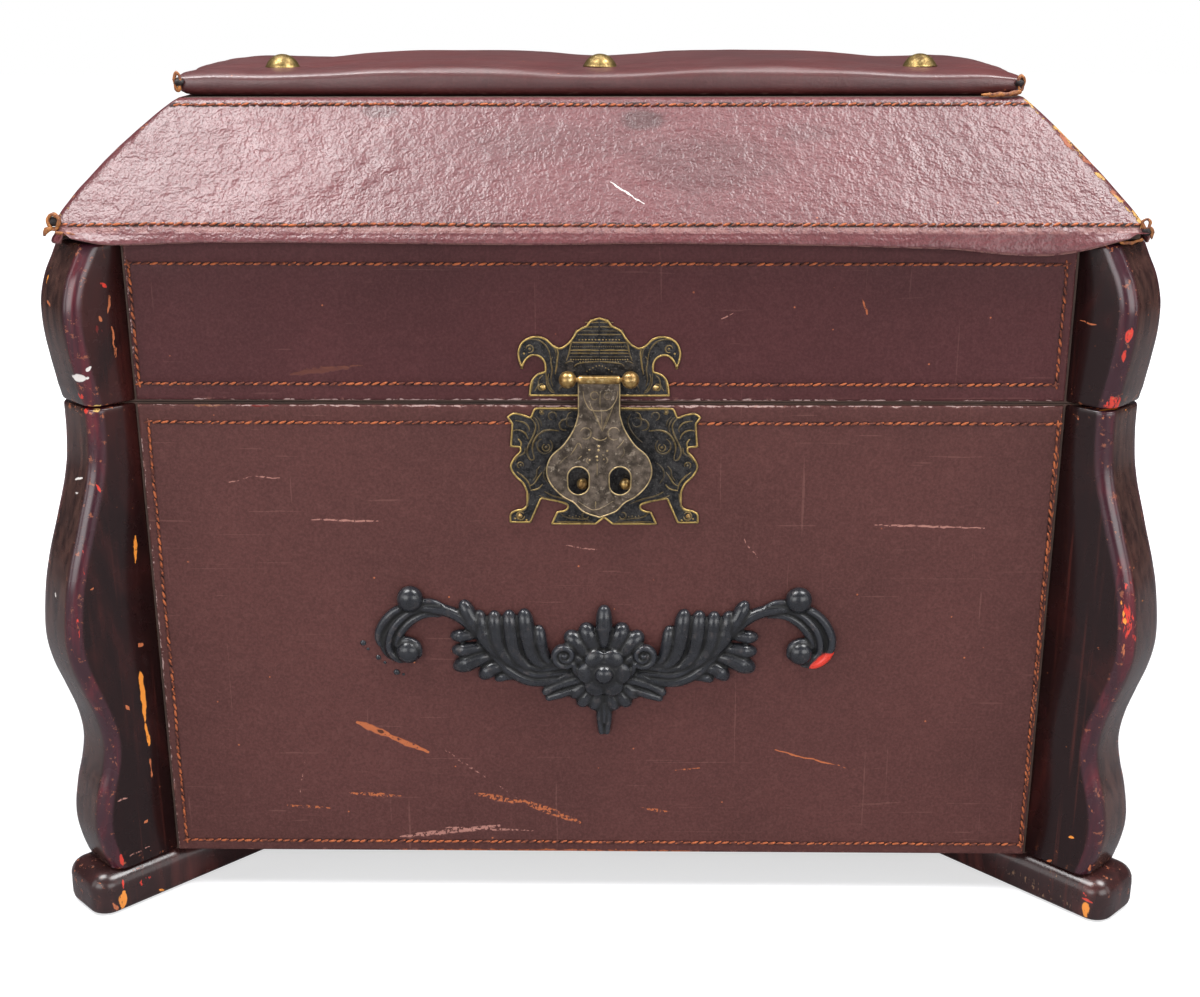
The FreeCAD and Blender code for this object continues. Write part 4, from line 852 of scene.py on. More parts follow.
def slopeCover(look=coverLook):
    outer, inner, wear, hip = [], [], [], []
    for inset, height, radius, zone, stand in coverLevels():
        outside, inside = [], []
        share = (look["hemTop"] - height) / look["hemDrop"]
        for x, y, z, normal, side, along, u in coverRing(inset, height, radius):
            out, up = stand, 0.0
            skin = normal * look["skin"] * (1.0 if zone == "hem" else 0.98)
            if zone == "slope":
                lift = coverSwell(side, along, z)
                out, up = lift * math.sin(slant), lift * math.cos(slant)
                skin = skin * math.sin(slant) + Vector((0, 0, 0.98 * look["skin"] * math.cos(slant)))
            if zone == "hem":
                up = (hemBottom(side, along if abs(u) < 1 else math.copysign(285, along)) - 390.0) * share
                out += 0.9 * sway(along * 0.035, side * 2.2, share * 0.6) * share
                out += 1.4 * share * bell(abs(along) - 262, 18) * (side == 0)
                out += (look["flare"] - stand) * (share if share < 0.9 else 0.82)
            point = hipPush(Vector((x, y, z + up)) + normal * out)
            outside.append(place(*point))
            inside.append(place(*(point - skin)))
            corner = min(abs(normal.x), abs(normal.y)) > 0.05 and zone != "hem"
            hip.append((0.66 if x > 0 else 0.36) if corner else 0.0)
            wear.append(1.0 if zone == "hem" and height < 390.6 else 0.3 if zone == "fold" else 0.0)
        outer.append(outside)
        inner.append(inside)
    rings = outer + inner[::-1]
    unworn = [0.0] * len(wear)
    addPiece("slopeCover", [p for ring in rings for p in ring], gridFaces(len(rings), len(rings[0]), True, True),
             leathers["slopeLeather"], "lid", "slope_leather", "lid_slope_cover", wear=wear + unworn, hip=hip + unworn)


def coverSpot(side, along, height, lift=0.35, look=coverLook):
    middle = (look["front"] + look["rear"]) / 2
    other = (look["halfX"] if side % 2 else (look["rear"] - look["front"]) / 2) - slopeInset(height)
    rise = coverSwell(side, along, height) + lift
    base = Vector((along, -other - rise * math.sin(slant), 0))
    normal = Vector((0, -math.sin(slant), math.cos(slant)))
    for _ in range(side):
        base, normal = Vector((-base.y, base.x, 0)), Vector((-normal.y, normal.x, normal.z))
    return place(base.x, base.y + middle, height + rise * math.cos(slant)), normal


slopeCover()
for side in range(4):
    for height, drift in ((399.2, 0.8), (456.6, 0.5)):
        reach = coverLook["halfX"] if side % 2 == 0 else (coverLook["rear"] - coverLook["front"]) / 2
        reach -= slopeInset(height) + 3
        row = [-reach + 2 * reach * k / 60 for k in range(61)]
        stitchRuns["lid"].append([
            coverSpot(side, along, height + drift * sway(along * 0.015, side * 2.0, height)) for along in row])
print("slope cover made")


# stitches

stitchLook = {"Pitch": 4.6 * mm, "Length": 4.9 * mm, "Thread": 0.72 * mm, "Slant": 0.26, "Sway": 0.14}


def stitchTree():
    graph, given = newGroup("stitchRun", "GeometryNodeTree", {
        "Geometry": "Geometry", "Pitch": "Float", "Length": "Float", "Thread": "Float", "Slant": "Float",
        "Sway": "Float", "Seed": "Int", "Material": "Material"}, "Geometry")
    curve = graph.node("GeometryNodeMeshToCurve", {0: given["Geometry"]}).outputs[0]
    spots = graph.node("GeometryNodeCurveToPoints", {"Curve": curve, "Length": given["Pitch"]}, mode="LENGTH").outputs
    outward = graph.node("GeometryNodeInputNamedAttribute", {"Name": "outward"}, data_type="FLOAT_VECTOR").outputs[0]
    along = graph.node("FunctionNodeAlignRotationToVector", {"Vector": spots["Tangent"]}, axis="X").outputs[0]
    upright = graph.node("FunctionNodeAlignRotationToVector", {"Rotation": along, "Vector": outward},
                         axis="Z", pivot_axis="X").outputs[0]
    shake = graph.node("FunctionNodeRandomValue", {
        2: graph.sub(given["Slant"], given["Sway"]), 3: graph.add(given["Slant"], given["Sway"]),
        "Seed": given["Seed"]}, data_type="FLOAT").outputs[1]
    turned = graph.node("FunctionNodeRotateRotation", {"Rotation": upright, "Rotate By": graph.joined(0.0, 0.0, shake)},
                        rotation_space="LOCAL").outputs[0]
    ball = graph.node("GeometryNodeMeshUVSphere", {"Segments": 6, "Rings": 5, "Radius": 1.0}).outputs["Mesh"]
    lying = graph.node("GeometryNodeTransform", {"Geometry": ball, "Rotation": (0, math.pi / 2, 0)}).outputs[0]
    size = graph.joined(graph.mul(given["Length"], 0.5), given["Thread"], given["Thread"])
    sized = graph.node("GeometryNodeTransform", {"Geometry": lying, "Scale": size}).outputs[0]
    smoothed = graph.node("GeometryNodeSetShadeSmooth", {"Geometry": sized}).outputs[0]
    return graph.painted({"Points": spots["Points"], "Instance": smoothed, "Rotation": turned}, given)


def growTree(piece, tree, values):  # runs a node tree on the piece and keeps the plain mesh
    modifier = piece.modifiers.new(tree.name, "NODES")
    modifier.node_group = tree
    for item in tree.interface.items_tree:
        if item.in_out == "INPUT" and item.name in values:
            modifier[item.identifier] = values[item.name]
    return bakeModifiers(piece)


def stitchPiece(body, tree):
    points, edges, normals = [], [], []
    for run in stitchRuns[body]:
        edges += [(len(points) + k, len(points) + k + 1) for k in range(len(run) - 1)]
        points += [point for point, normal in run]
        normals += [value for point, normal in run for value in normal]
    mesh = newMesh(body + "Stitches", points, [], edges)
    mesh.attributes.new("outward", "FLOAT_VECTOR", "POINT").data.foreach_set("vector", normals)
    piece = growTree(linked(body + "Stitches", mesh), tree, {**stitchLook, "Seed": 7, "Material": thread})
    enlist(piece, body)


stitches = stitchTree()
for body in ("base", "lid"):
    stitchPiece(body, stitches)
print("stitches made")


# corner posts and feet

postLook = {"thickness": 34.0, "round": 8.5, "root": -2.0, "step": 2.2, "spread": {-1: 4.6, 1: 3.6}}
footLook = {"height": 25.0, "topRound": 10.0, "soleRound": 4.0, "width": 39.0, "cornerRound": 12.0, "reach": 52.0,
            "tail": 100.0, "rearTail": 120.0, "sideReach": 313.52, "spread": 4.4}
chordX, chordY, rearX, rearY = 267.02, 12.02, 279.04, 350.0  # where the front and rear posts stand
lowerReach = [(25, 37.0), (44, 42.0), (58, 42.9), (75, 39.8), (90, 35.2), (104, 33.2), (120, 35.4), (137, 40.7),
              (154, 46.2), (170, 48.6), (190, 46.9), (211, 42.6), (237, 34.3), (263, 26.4), (283, 23.6), (301.3, 23.1)]
upperReach = [(302.7, 23.3), (311, 25.3), (329, 28.4), (343, 30.2), (356, 30.2), (364, 28.7), (373, 25.7),
              (381, 21.4), (389.5, 17.0)]


def quarter(count):
    return [math.pi / 2 * k / count for k in range(count + 1)]


def barSection(lower, reach, half, radius, count):  # outline of a bar with rounded outer corners
    lower = lower + [(reach - radius + radius * math.sin(a), -half + radius - radius * math.cos(a))
                     for a in quarter(count)]
    return lower + [(reach, 0.0)] + [(x, -y) for x, y in reversed(lower)]


def cornerSpot(x, y, z, rear, mirror, half):  # from the bar's own place to its corner of the trunk
    if rear:
        return place(mirror * (rearX + x), rearY - half + y, z)
    d = math.sqrt(0.5)
    return place(mirror * (chordX + d * (x + y)), chordY - d * (x - y), z)


def postMesh(name, node, body, keys, rear, mirror, look=postLook):
    low, high = keys[0][0], keys[-1][0]
    count = int((high - low) / look["step"])
    heights = [low, low + 0.25, low + 0.8] + [low + 1.6 + (high - low - 3.2) * k / count for k in range(count + 1)]
    heights += [high - 0.8, high - 0.25, high]
    draws = [1.2, 0.55, 0.15] + [0] * (count + 1) + [0.15, 0.55, 1.2]
    half, root, thin = look["thickness"] / 2, look["root"], 1.0
    if rear:
        root, thin = 0.2, math.sqrt(2)
    points, wear, zone = [], [], []
    for z, draw in zip(heights, draws):
        reach, radius = curveAt(keys, z) / thin, look["round"] / thin
        nearEnd = math.exp(-min(z - low, high - z) / 3.5)
        lower = [(root, draw - half), (root + (reach - draw - radius - root) * 0.5, draw - half)]
        for x, y in barSection(lower, reach - draw, half - draw, radius, 6):
            outer = x > reach - radius - 0.5
            chipped = max(0.0, sway(x * 0.2 + mirror * 5, y * 0.2, z * 0.2) - 0.32) * 2.2
            ripple = 0.25 * sway(x * 0.06, y * 0.06 + mirror, z * 0.03)
            away = math.hypot(max(x - (reach - radius), 0), max(abs(y) - (half - radius), 0))
            onCorner = math.exp(-abs(away - radius) / 1.5) * (x > reach - radius and abs(y) > half - radius)
            dx, dy = max(x - (reach - draw - radius), 0), max(abs(y) - (half - draw - radius), 0)
            zone.append(math.atan2(dx, dy) / (math.pi / 2) if dx + dy > 0.01 and x > root else 0.0)
            wear.append(min(1.0, 0.8 * nearEnd + 0.45 * onCorner))
            wide = 0 if rear else look["spread"][mirror]
            bite = chipped * nearEnd * (1.6 if outer else 0.3) - (ripple if outer else 0)
            x += 0.25 * wide * limit(x / reach) - bite
            y += wide * limit(y / half)
            points.append(cornerSpot(x, y, z, rear, mirror, half))
    addPiece(name, points, tubeFaces(len(heights), len(points) // len(heights)), lacquers["postLacquer"], body,
             "post_lacquer", node, wear=wear, zone=zone)


def footMesh(name, node, rear, mirror, look=footLook):
    sole, top, half = look["soleRound"], look["topRound"], look["width"] / 2
    levels = [(sole * (1 - math.sin(a)), sole * (1 - math.cos(a))) for a in quarter(4)] + [(0, 9.5)]
    levels += [(top * (1 - math.cos(a)), look["height"] - top * (1 - math.sin(a))) for a in quarter(7)]
    points, wear = [], []
    for inset, z in levels:
        low, high = (rearX - look["rearTail"], look["sideReach"]) if rear else (-look["tail"], look["reach"])
        high -= inset
        radius = max(look["cornerRound"] - inset, 2.0)
        lower = [(low + (high - radius - low) * k / 12, inset - half) for k in range(12)]
        for x, y in barSection(lower, high, half - inset, radius, 7):
            tip = max(0.0, (x - high + 16) / 16)
            bite = max(0.0, sway(x * 0.13 + 9 * mirror, y * 0.13, z * 0.16) - 0.28) * 3.0 * tip
            wear.append(min(1.0, 0.85 * tip * (0.4 + 0.6 * (inset > 0.5))))
            if rear:
                points.append(cornerSpot(x - bite - rearX, y, z, rear, mirror, half))
            else:
                y += look["spread"] * min(y / half, 0)
                points.append(cornerSpot(x - bite, -y, z, rear, mirror, half))
    addPiece(name, points, tubeFaces(len(levels), len(points) // len(levels)), lacquers["footLacquer"], "base",
             "foot_lacquer", node, wear=wear)


for mirror, hand in ((-1, "Left"), (1, "Right")):
    for rear, end in ((False, "Front"), (True, "Rear")):
        corner = "_%s_%s" % (end.lower(), hand.lower())
        postMesh("lowerPost" + end + hand, "lower_post" + corner, "base", lowerReach, rear, mirror)
        postMesh("upperPost" + end + hand, "upper_post" + corner, "lid", upperReach, rear, mirror)
        footMesh("foot" + end + hand, "foot" + corner, rear, mirror)
print("posts and feet made")


# cushion

cushionLook = {"voxel": 5.0, "shrink": 1.6, "cap": 5.0, "frames": 20, "creaseDepth": 2.6, "held": 13.0}
clothLook = {"quality": 6, "mass": 0.4, "tension_stiffness": 30, "compression_stiffness": 30, "shear_stiffness": 12,
             "bending_stiffness": 1.5, "use_pressure": True, "uniform_pressure_force": 4.0, "vertex_group_mass": "held"}
nailSpots = [(x, 81.0) for x in (-177.8, 0.0, 177.8)]
crestKeys = [(50, 472.2), (54, 474.3), (58, 475.2), (65, 475.9), (81, 476.4), (105, 477.4), (140, 478.1), (175, 478.3),
             (215, 477.3), (245, 475.9), (269, 474.7), (285, 473.4), (294, 472.0), (300, 470.0)]
fullKeys = [(48, 469.5), (50, 472.6), (53, 475.2), (57, 476.9), (62, 477.9), (70, 478.4), (81, 478.5), (105, 478.5),
            (140, 478.5), (175, 478.5)]


def ramp(share):
    return share * share * (3 - 2 * share)


def cushionCreases(x, y):  # how far the top is pressed in along the pleats that run out from each nail
    press = 0.0
    for nailX, nailY in nailSpots:
        dx, dy = x - nailX, y - nailY
        reach = abs(dx)
        if reach < 95:
            path = 1.5 + reach * 0.10 + 1.5 * math.sin(reach * 0.07 + nailX)
            press += bell(dy - path, 4.2) * math.exp(-reach / 34) * (1 - math.exp(-reach / 5))
            path = -6.0 - reach * 0.05
            press += 0.5 * bell(dy - path, 3.6) * math.exp(-reach / 26) * (1 - math.exp(-reach / 6))
        if reach < 22 and 0 < dy < 60:
            press += 0.5 * bell(dx, 5.0) * math.exp(-dy / 22)
    return press


def fullness(x):  # 1 between the nails, 0 at them and at the ends
    full = max(1 - sum(bell(x - nailX, 42) for nailX, nailY in nailSpots), 0)
    return full * limit((215 - abs(x)) / 40)


def crestHeight(x, y):  # height of the stuffed top, lower behind each nail and towards the ends
    top = curveAt(crestKeys, limit(y, 50, 300))
    if y < 175:
        top += (curveAt(fullKeys, max(y, 48)) - top) * fullness(x)
    depth = 1.0 + 2.4 * limit((y - 90) / 60)
    top -= sum(depth * bell(x - nailX, 33) for nailX, nailY in nailSpots)
    return top - 0.5 - (2.0 if x < 0 else 3.6) * limit((abs(x) - 204) / 26) ** 2


def fullRoll(x, y, z):  # lift of the upper edge all round, so that the roll is full
    gap = min(y - 47.5, 302.5 - y, 229.5 - abs(x))
    lift = (3.4 + (4.0 * fullness(x) if y < 100 else 0)) * bell(gap - 6.5, 8.5) + 4.5 * bell(215.5 - abs(x), 14)
    return lift * ramp(limit((z - 464) / 6))


def nailDimple(x, y, z, seat=474.9):  # the cover is drawn down to the seat of each nail
    for nailX, nailY in nailSpots:
        away = math.hypot(x - nailX, (y - nailY) * 1.15)
        if away < 34 and z > 466:
            share = 1 - max(away - 9.5, 0) / 24.5
            z += (seat - z) * ramp(share) * (1 if z > seat else share ** 2)
    return z


def blownUp(piece, rest, start, look=cushionLook):  # cloth under pressure, held along the lower edge and at the nails
    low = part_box("lid_cushion")[0].z
    spots = [place(x, y, 474) for x, y in nailSpots]
    group = piece.vertex_groups.new(name="held")
    for index, point in enumerate(rest):
        nearNail = any(math.hypot(point[0] - s.x, point[1] - s.y) < look["held"] * mm for s in spots)
        if nearNail or point[2] < low + 2.5 * mm:
            group.add([index], 1.0, "REPLACE")
    settings = piece.modifiers.new("cloth", "CLOTH").settings
    for key, value in clothLook.items():
        setattr(settings, key, value)
    settings.effector_weights.gravity = 0
    scene = bpy.context.scene
    for number in range(1, look["frames"] + 1):
        scene.frame_set(number)
    shift = pointsOf(piece.evaluated_get(bpy.context.evaluated_depsgraph_get()).data) - start
    length, cap = np.linalg.norm(shift, axis=1), look["cap"] * mm
    shift *= (np.tanh(length / cap) * cap / np.maximum(length, 1e-9))[:, None]
    piece.modifiers.clear()
    scene.frame_set(1)
    return start + shift


def makeCushion(look=cushionLook):
    piece = linked("paddedCushion", outwards(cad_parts["lid_cushion"].data.copy(), 1e-6))
    rest = pointsOf(voxelRemesh(piece, look["voxel"]))
    normals = np.array([v.normal for v in piece.data.vertices])
    lifted = np.clip((rest[:, 2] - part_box("lid_cushion")[0].z) / (4 * mm), 0, 1)
    start = rest - normals * (look["shrink"] * mm * lifted)[:, None]
    piece.data.vertices.foreach_set("co", start.ravel())
    rest = blownUp(piece, rest, start)
    piece.data.vertices.foreach_set("co", rest.ravel())
    smooth = piece.modifiers.new("smooth", "CORRECTIVE_SMOOTH")
    smooth.iterations, smooth.use_only_smooth = 2, True
    finer = piece.modifiers.new("finer", "SUBSURF")
    finer.levels = finer.render_levels = 1
    bakeModifiers(piece)
    wear, spots = [], []
    for point, normal in [(v.co.copy(), v.normal.copy()) for v in piece.data.vertices]:
        x, y, z = point.x / mm, (point.y - frontFace) / mm, point.z / mm
        upper = limit((z - 462) / 8)
        press = cushionCreases(x, y) * look["creaseDepth"] * upper
        ripple = 0.5 * sway(x * 0.035, y * 0.08, z * 0.05) * upper
        ripple += 0.5 * limit((474 - z) / 8) * upper * sway(x * 0.02, 3.0, z * 0.25)
        point.z += fullRoll(x, y, z) * mm
        over = (point.z / mm - crestHeight(x, y) - 0.22 * (z - 478)) / 0.7
        point.z -= 0.7 * mm * (math.log1p(math.exp(over)) if over < 30 else over)
        point += normal * (ripple - press) * mm
        point.z = nailDimple(x, y, point.z / mm) * mm
        point.x += math.copysign(5.6 if x < 0 else 3.8, x) * limit((abs(x) - 196) / 26) ** 1.5 * mm
        spots += list(point)
        wear.append(max(0.0, 1 - (z - 460) / 3.0))
    piece.data.vertices.foreach_set("co", spots)
    setValues(piece.data, wear=wear)
    dress(piece.data, leathers["cushionLeather"])
    enlist(piece, "lid", "lid_cushion")


makeCushion()
print("cushion made")


# dome nails on the cushion

nailLook = {"radius": 9.5, "rise": 7.2, "rim": 0.7, "segments": 40, "seat": 474.5}


def nailTree():
    graph, given = newGroup("nailOnSpots", "GeometryNodeTree", {
        "Geometry": "Geometry", "Nail": "Object", "Lean": "Float", "Seed": "Int", "Material": "Material"}, "Geometry")
    nail = graph.node("GeometryNodeObjectInfo", {"Object": given["Nail"]}, transform_space="ORIGINAL")
    back = graph.mul(given["Lean"], -1.0)
    lean = graph.node("FunctionNodeRandomValue", {
        0: graph.joined(back, back, 0.0), 1: graph.joined(given["Lean"], given["Lean"], 6.0), "Seed": given["Seed"],
    }, data_type="FLOAT_VECTOR").outputs[0]
    return graph.painted({"Points": given["Geometry"], "Instance": nail.outputs["Geometry"], "Rotation": lean}, given)


def cushionNails(look=nailLook):
    radius, rise, segments = look["radius"], look["rise"], look["segments"]
    ball = (radius ** 2 + rise ** 2) / (2 * rise)
    profile = [(1.2, -8), (1.2, -0.2), (radius - 0.6, -0.3), (radius + 0.2, 0.1), (radius + 0.25, look["rim"] * 0.6)]
    for k in range(1, 14):
        a = math.asin(radius / ball) * (1 - k / 14)
        profile.append((ball * math.sin(a), rise - ball + ball * math.cos(a)))
    points = [(r * math.cos(a), r * math.sin(a), z) for r, z in profile for a in circle(segments)]
    points = [(0, 0, -8)] + points + [(0, 0, rise)]
    mesh = newMesh("nailShape", [Vector(p) * mm for p in points], poleFaces(len(profile), segments))
    mesh.shade_smooth()
    nail = linked("nailShape", mesh)
    piece = linked("domeNails", newMesh("domeNails", [place(x, y, look["seat"]) for x, y in nailSpots], []))
    growTree(piece, nailTree(), {"Nail": nail, "Lean": 0.05, "Seed": 3, "Material": metals["nailBronze"]})
    bpy.data.objects.remove(nail)
    piece.data.shade_smooth()
    enlist(piece, "lid", "cushion_nails")


cushionNails()
print("nails made")


# closed rounded ribs that follow a path in front of the leather

def spread(values, shares):
    return np.interp(shares, np.linspace(0, 1, len(values)), values)


def roundedRib(points, radii, flat=1.0, depth=0.0, step=1.2, segments=8, blunt=1.0):
    path = smoothCurve(points, max(len(points) * 6, 12)) if len(points) > 2 else np.array(points, float)
    lengths = runLengths(path)
    total = lengths[-1]
    count = max(int(total / step), 4)
    even = np.linspace(0, 1, count + 1)
    stations = (0.5 * (0.5 - 0.5 * np.cos(even * math.pi)) + 0.5 * even) * total
    xs, zs = (np.interp(stations, lengths, path[:, k]) for k in (0, 1))
    girth = spread(radii, stations / total)
    depths = spread(depth if isinstance(depth, list) else [depth, depth], stations / total)
    vertices = [(xs[0], depths[0], zs[0])]
    for k in range(1, count):
        near, reach = min(stations[k], total - stations[k]), girth[k] * blunt
        share = math.sqrt(max(1 - (1 - near / reach) ** 2, 0)) if near < reach else 1.0
        tx, tz = xs[k + 1] - xs[k - 1], zs[k + 1] - zs[k - 1]
        norm = math.hypot(tx, tz) or 1.0
        r = girth[k] * max(share, 0.12)
        for a in circle(segments):
            out = r * math.cos(a) / norm
            vertices.append((xs[k] - tz * out, depths[k] - r * flat * math.sin(a), zs[k] + tx * out))
    vertices.append((xs[count], depths[count], zs[count]))
    return vertices, poleFaces(count - 1, segments)


def roundBall(x, y, z, radius, flat=1.0, segments=14):
    return roundedRib([(x - radius, z), (x + radius, z)], [radius], flat, y, radius / 6, segments)


def sidewards(ring):  # each point of a ring with its direction to the left
    for k, (x, z) in enumerate(ring):
        (x0, z0), (x1, z1) = ring[k - 1], ring[(k + 1) % len(ring)]
        norm = math.hypot(x1 - x0, z1 - z0) or 1
        yield x, z, (z0 - z1) / norm, (x1 - x0) / norm


def closedRib(ring, radius, flat, depth, segments=6):
    points = []
    for x, z, left, up in sidewards(ring):
        for a in circle(segments):
            out = radius * math.cos(a)
            points.append((x + left * out, depth - radius * flat * math.sin(a), z + up * out))
    return points, gridFaces(len(ring), segments, True, True)


class shellHeap:  # collects closed shells for one mesh
    def __init__(self):
        self.points, self.faces, self.wear = [], [], []

    def add(self, shell, wear=0.0, mirror=False):
        first = len(self.points)
        self.points += [(-x if mirror else x, y, z) for x, y, z in shell[0]]
        self.faces += [tuple(first + i for i in (face[::-1] if mirror else face)) for face in shell[1]]
        self.wear += [wear] * len(shell[0])


# carved ornament

ornamentLook = {"centreX": 2.9, "centreZ": 144.6, "voxel": 0.63, "relief": 0.95, "scroll": (22.4, 10.6)}

armStrands = [  # path in mm from the middle of the flower, half widths, height over half width, depth
    ([(14, -6), (26.7, -6.2), (41.9, -7.0), (55.3, 0.2), (64.8, 12.5), (74.3, 25.5), (85.8, 34.6),
      (101, 38.2), (110, 38)], [2.6, 3.0, 3.4, 3.4, 3.2, 3.3, 3.5, 3.4, 2.6], 1.1, -1.6),
    ([(14, -2), (27, -2.2), (41, -2.6), (52.5, 4.6), (60, 15), (70, 27)], [1.6, 2.0, 2.3, 2.2, 1.8, 0.8], 1.3, -1.8),
    ([(16, 2), (27, 1.6), (38, 0.5), (49, 6.5), (56, 17)], [1.2, 1.7, 2.0, 1.7, 0.6], 1.3, -1.8),
    ([(15, 7), (19, 3.4), (26, 3.6), (35, 3.4), (44, 9)], [1.0, 1.5, 1.7, 1.5, 0.5], 1.3, -1.7),
    ([(88, 37.6), (97, 41.6), (108, 41.2), (114, 38)], [0.8, 1.7, 1.9, 1.2], 1.2, -2.0),
    ([(92, 33), (101, 34), (109, 30.5), (115, 24), (118.4, 16.5), (117, 10)],
     [0.8, 2.1, 2.6, 2.5, 2.1, 1.2], 1.2, -2.0),
    ([(101, 37), (110, 35.4), (117.5, 29), (122, 21), (122.5, 12), (117, 6), (110, 7.4)],
     [1.2, 2.2, 2.5, 2.5, 2.4, 2.2, 1.4], 1.25, -2.3),
    ([(102, 38.6), (113, 36), (121.5, 28.5), (125.6, 19), (123.5, 10), (117, 4.6)], [2.4, 3.4, 3.8, 3.8, 3.2, 2.0],
     0.62, -1.0),
]
outerBand = ([(108, 40), (118.5, 36), (126, 28), (129.4, 18.5), (127, 9), (120, 3.8), (111.5, 4.2)],
             [1.6, 2.4, 2.7, 2.8, 2.7, 2.4, 1.4], 1.25, -2.0)
brokenBand = ([(108, 40), (118.5, 36), (126, 28), (129, 20), (127.5, 14)], [1.6, 2.4, 2.6, 2.4, 1.6], 1.1, -1.6)
fanLobes = [  # root, bend, tip, half width at the tip
    ((27, 2), (34, 9), (37.6, 27.5), 3.6), ((31, -2), (41.5, 11), (45.8, 37.4), 4.9),
    ((37, -4), (50.5, 10), (54.4, 36.6), 4.7), ((44, -4), (59.5, 13), (62.8, 36.2), 4.7),
    ((50, 0), (67, 18), (71.6, 36.4), 4.7), ((60, 10), (72, 26), (80.8, 42.4), 4.4),
]
underLobes = [
    ((70, 22), (78, 21.4), (88.0, 20.4), 3.9), ((65, 14), (76, 13), (87.4, 11.4), 4.3),
    ((61, 8), (72, 7), (86.6, 0.4), 5.4), ((54, 1), (64, 1), (71.4, -6.0), 4.7), ((47, -5), (57, -4), (63, -7), 2.8),
]
palmetteLobes = [(-64, 30.0, 5.2), (-43, 31.8, 5.4), (-22, 31.0, 5.4),
                 (22, 31.0, 5.4), (43, 31.8, 5.4), (64, 30.0, 5.2)]
lowerLobes = [(-166, 26.5, 4.0), (-148, 27.5, 4.3), (-130, 26.5, 4.3),
              (166, 26.5, 4.0), (148, 27.5, 4.3), (130, 26.5, 4.3)]
sideLeaves = [([(6, -4), (18, -6.4), (28, -10), (35.6, -15.4)], [2.2, 3.4, 3.2, 2.4], 1.2, -1.5),
              ([(8, -9), (18, -12.4), (27, -15.6), (34, -18.4)], [2.0, 3.0, 3.0, 2.0], 1.2, -1.7),
              ([(12, -2), (22, -3.6), (31, -8.4), (35, -13)], [1.2, 1.8, 1.6, 0.9], 1.3, -2.4)]
flakes = [(-138, 15.5, 2.6), (-135.4, 11.8, 1.6), (-129.6, 6.6, 2.4), (-126, 3.4, 1.7), (-119.5, -2.6, 2.6),
          (-115.6, -4, 1.5)]


def spokes(angle, reaches):
    turn = math.radians(angle)
    return [(math.sin(turn) * reach, math.cos(turn) * reach) for reach in reaches]


def ornamentHalf(heap, mirror, look=ornamentLook):
    relief, (scrollX, scrollZ) = look["relief"], look["scroll"]
    for path, radii, flat, depth in armStrands + [brokenBand if mirror else outerBand] + sideLeaves:
        heap.add(roundedRib(path, radii, flat * relief, depth, 1.0, 12), mirror=mirror)
    for root, bend, tip, girth in fanLobes + underLobes:
        heap.add(roundedRib([root, bend, tip], [2.2, girth * 0.86, girth, girth], relief,
                            [-0.8, -1.6, -2.4, -1.0], 0.8, 14, 1.75), mirror=mirror)
    spiral = [(14.5, -4)]
    for k in range(26):
        turn, radius = math.radians(-130 + 22 * k), 6.9 - 0.2 * k
        spiral.append((scrollX + radius * math.cos(turn), scrollZ + radius * math.sin(turn)))
    shells = [
        roundedRib(spiral, [1.8, 2.3, 2.2, 2.0, 1.7, 1.3], 1.6 * relief, [-3.0, -5.0, -5.6, -6.0], 0.8, 12),
        roundBall(scrollX, -3.4, scrollZ, 5.6, 0.7, 16), roundBall(scrollX, -5.6, scrollZ, 1.9, 1.6),
        roundBall(109.8, -2.6, 43.6, 7.6, 0.8, 24), roundBall(111.8, -3.0, 11.4, 7.0, 0.78, 20),
        roundedRib([(118, 15), (113, 19), (106.5, 16), (105.4, 9.4), (110, 6)], [0.7, 1.5, 1.7, 1.5, 0.8], 1.5, -2.6,
                   0.8, 10),
    ]
    for shell in shells:
        heap.add(shell, mirror=mirror)


def ornamentShells(look=ornamentLook):
    heap, relief = shellHeap(), look["relief"]
    for mirror in (False, True):
        ornamentHalf(heap, mirror)
    for angle, reach, girth in palmetteLobes + lowerLobes:
        heap.add(roundedRib(spokes(angle, (6, reach * 0.6, reach)), [2.2, girth * 0.84, girth, girth], 0.95 * relief,
                            [-0.8, -1.6, -2.0, -1.0], 0.8, 14, 1.25))
    heap.add(roundedRib([(0, 14), (0, 27), (0, 40.4)], [2.4, 3.8, 4.8, 4.6, 3.0], relief, [-3.0, -4.0, -2.6], 0.9, 14))
    for side in (-1, 1):
        heap.add(roundedRib([(side * 1.2, -14), (side * 2.4, -28), (side * 1.5, -41)], [1.8, 2.3, 1.7], 1.2 * relief,
                            -1.8, 0.9, 12))
    heap.add(roundedRib([(0, -20), (0, -33)], [0.5, 0.9, 0.6], 1.4, -3.6, 0.9, 8))
    for k in range(6):
        petal = spokes(60 * (k + 0.5), (2, 9, 15.6))
        heap.add(roundedRib(petal, [3.4, 5.8, 6.6, 6.2], 0.36, [-6.8, -7.0, -6.2], 1.0, 18))
    heap.add(roundBall(0, -4.6, 0, 13.6, 0.28, 36))
    heap.add(roundBall(0, -7.8, 0, 5.6, 0.85, 24))
    heap.add(closedRib([(6.6 * math.cos(a), 6.6 * math.sin(a)) for a in circle(30)], 0.9, 1.1, -8.2, 8))
    for x, z, girth in flakes:
        path = [(x - girth * 0.7, z + girth * 0.4), (x + girth * 0.7, z - girth * 0.5)]
        heap.add(roundedRib(path, [girth * 0.6, girth * 0.8, girth * 0.5], 0.5, -0.2, 0.7, 10))
    return heap


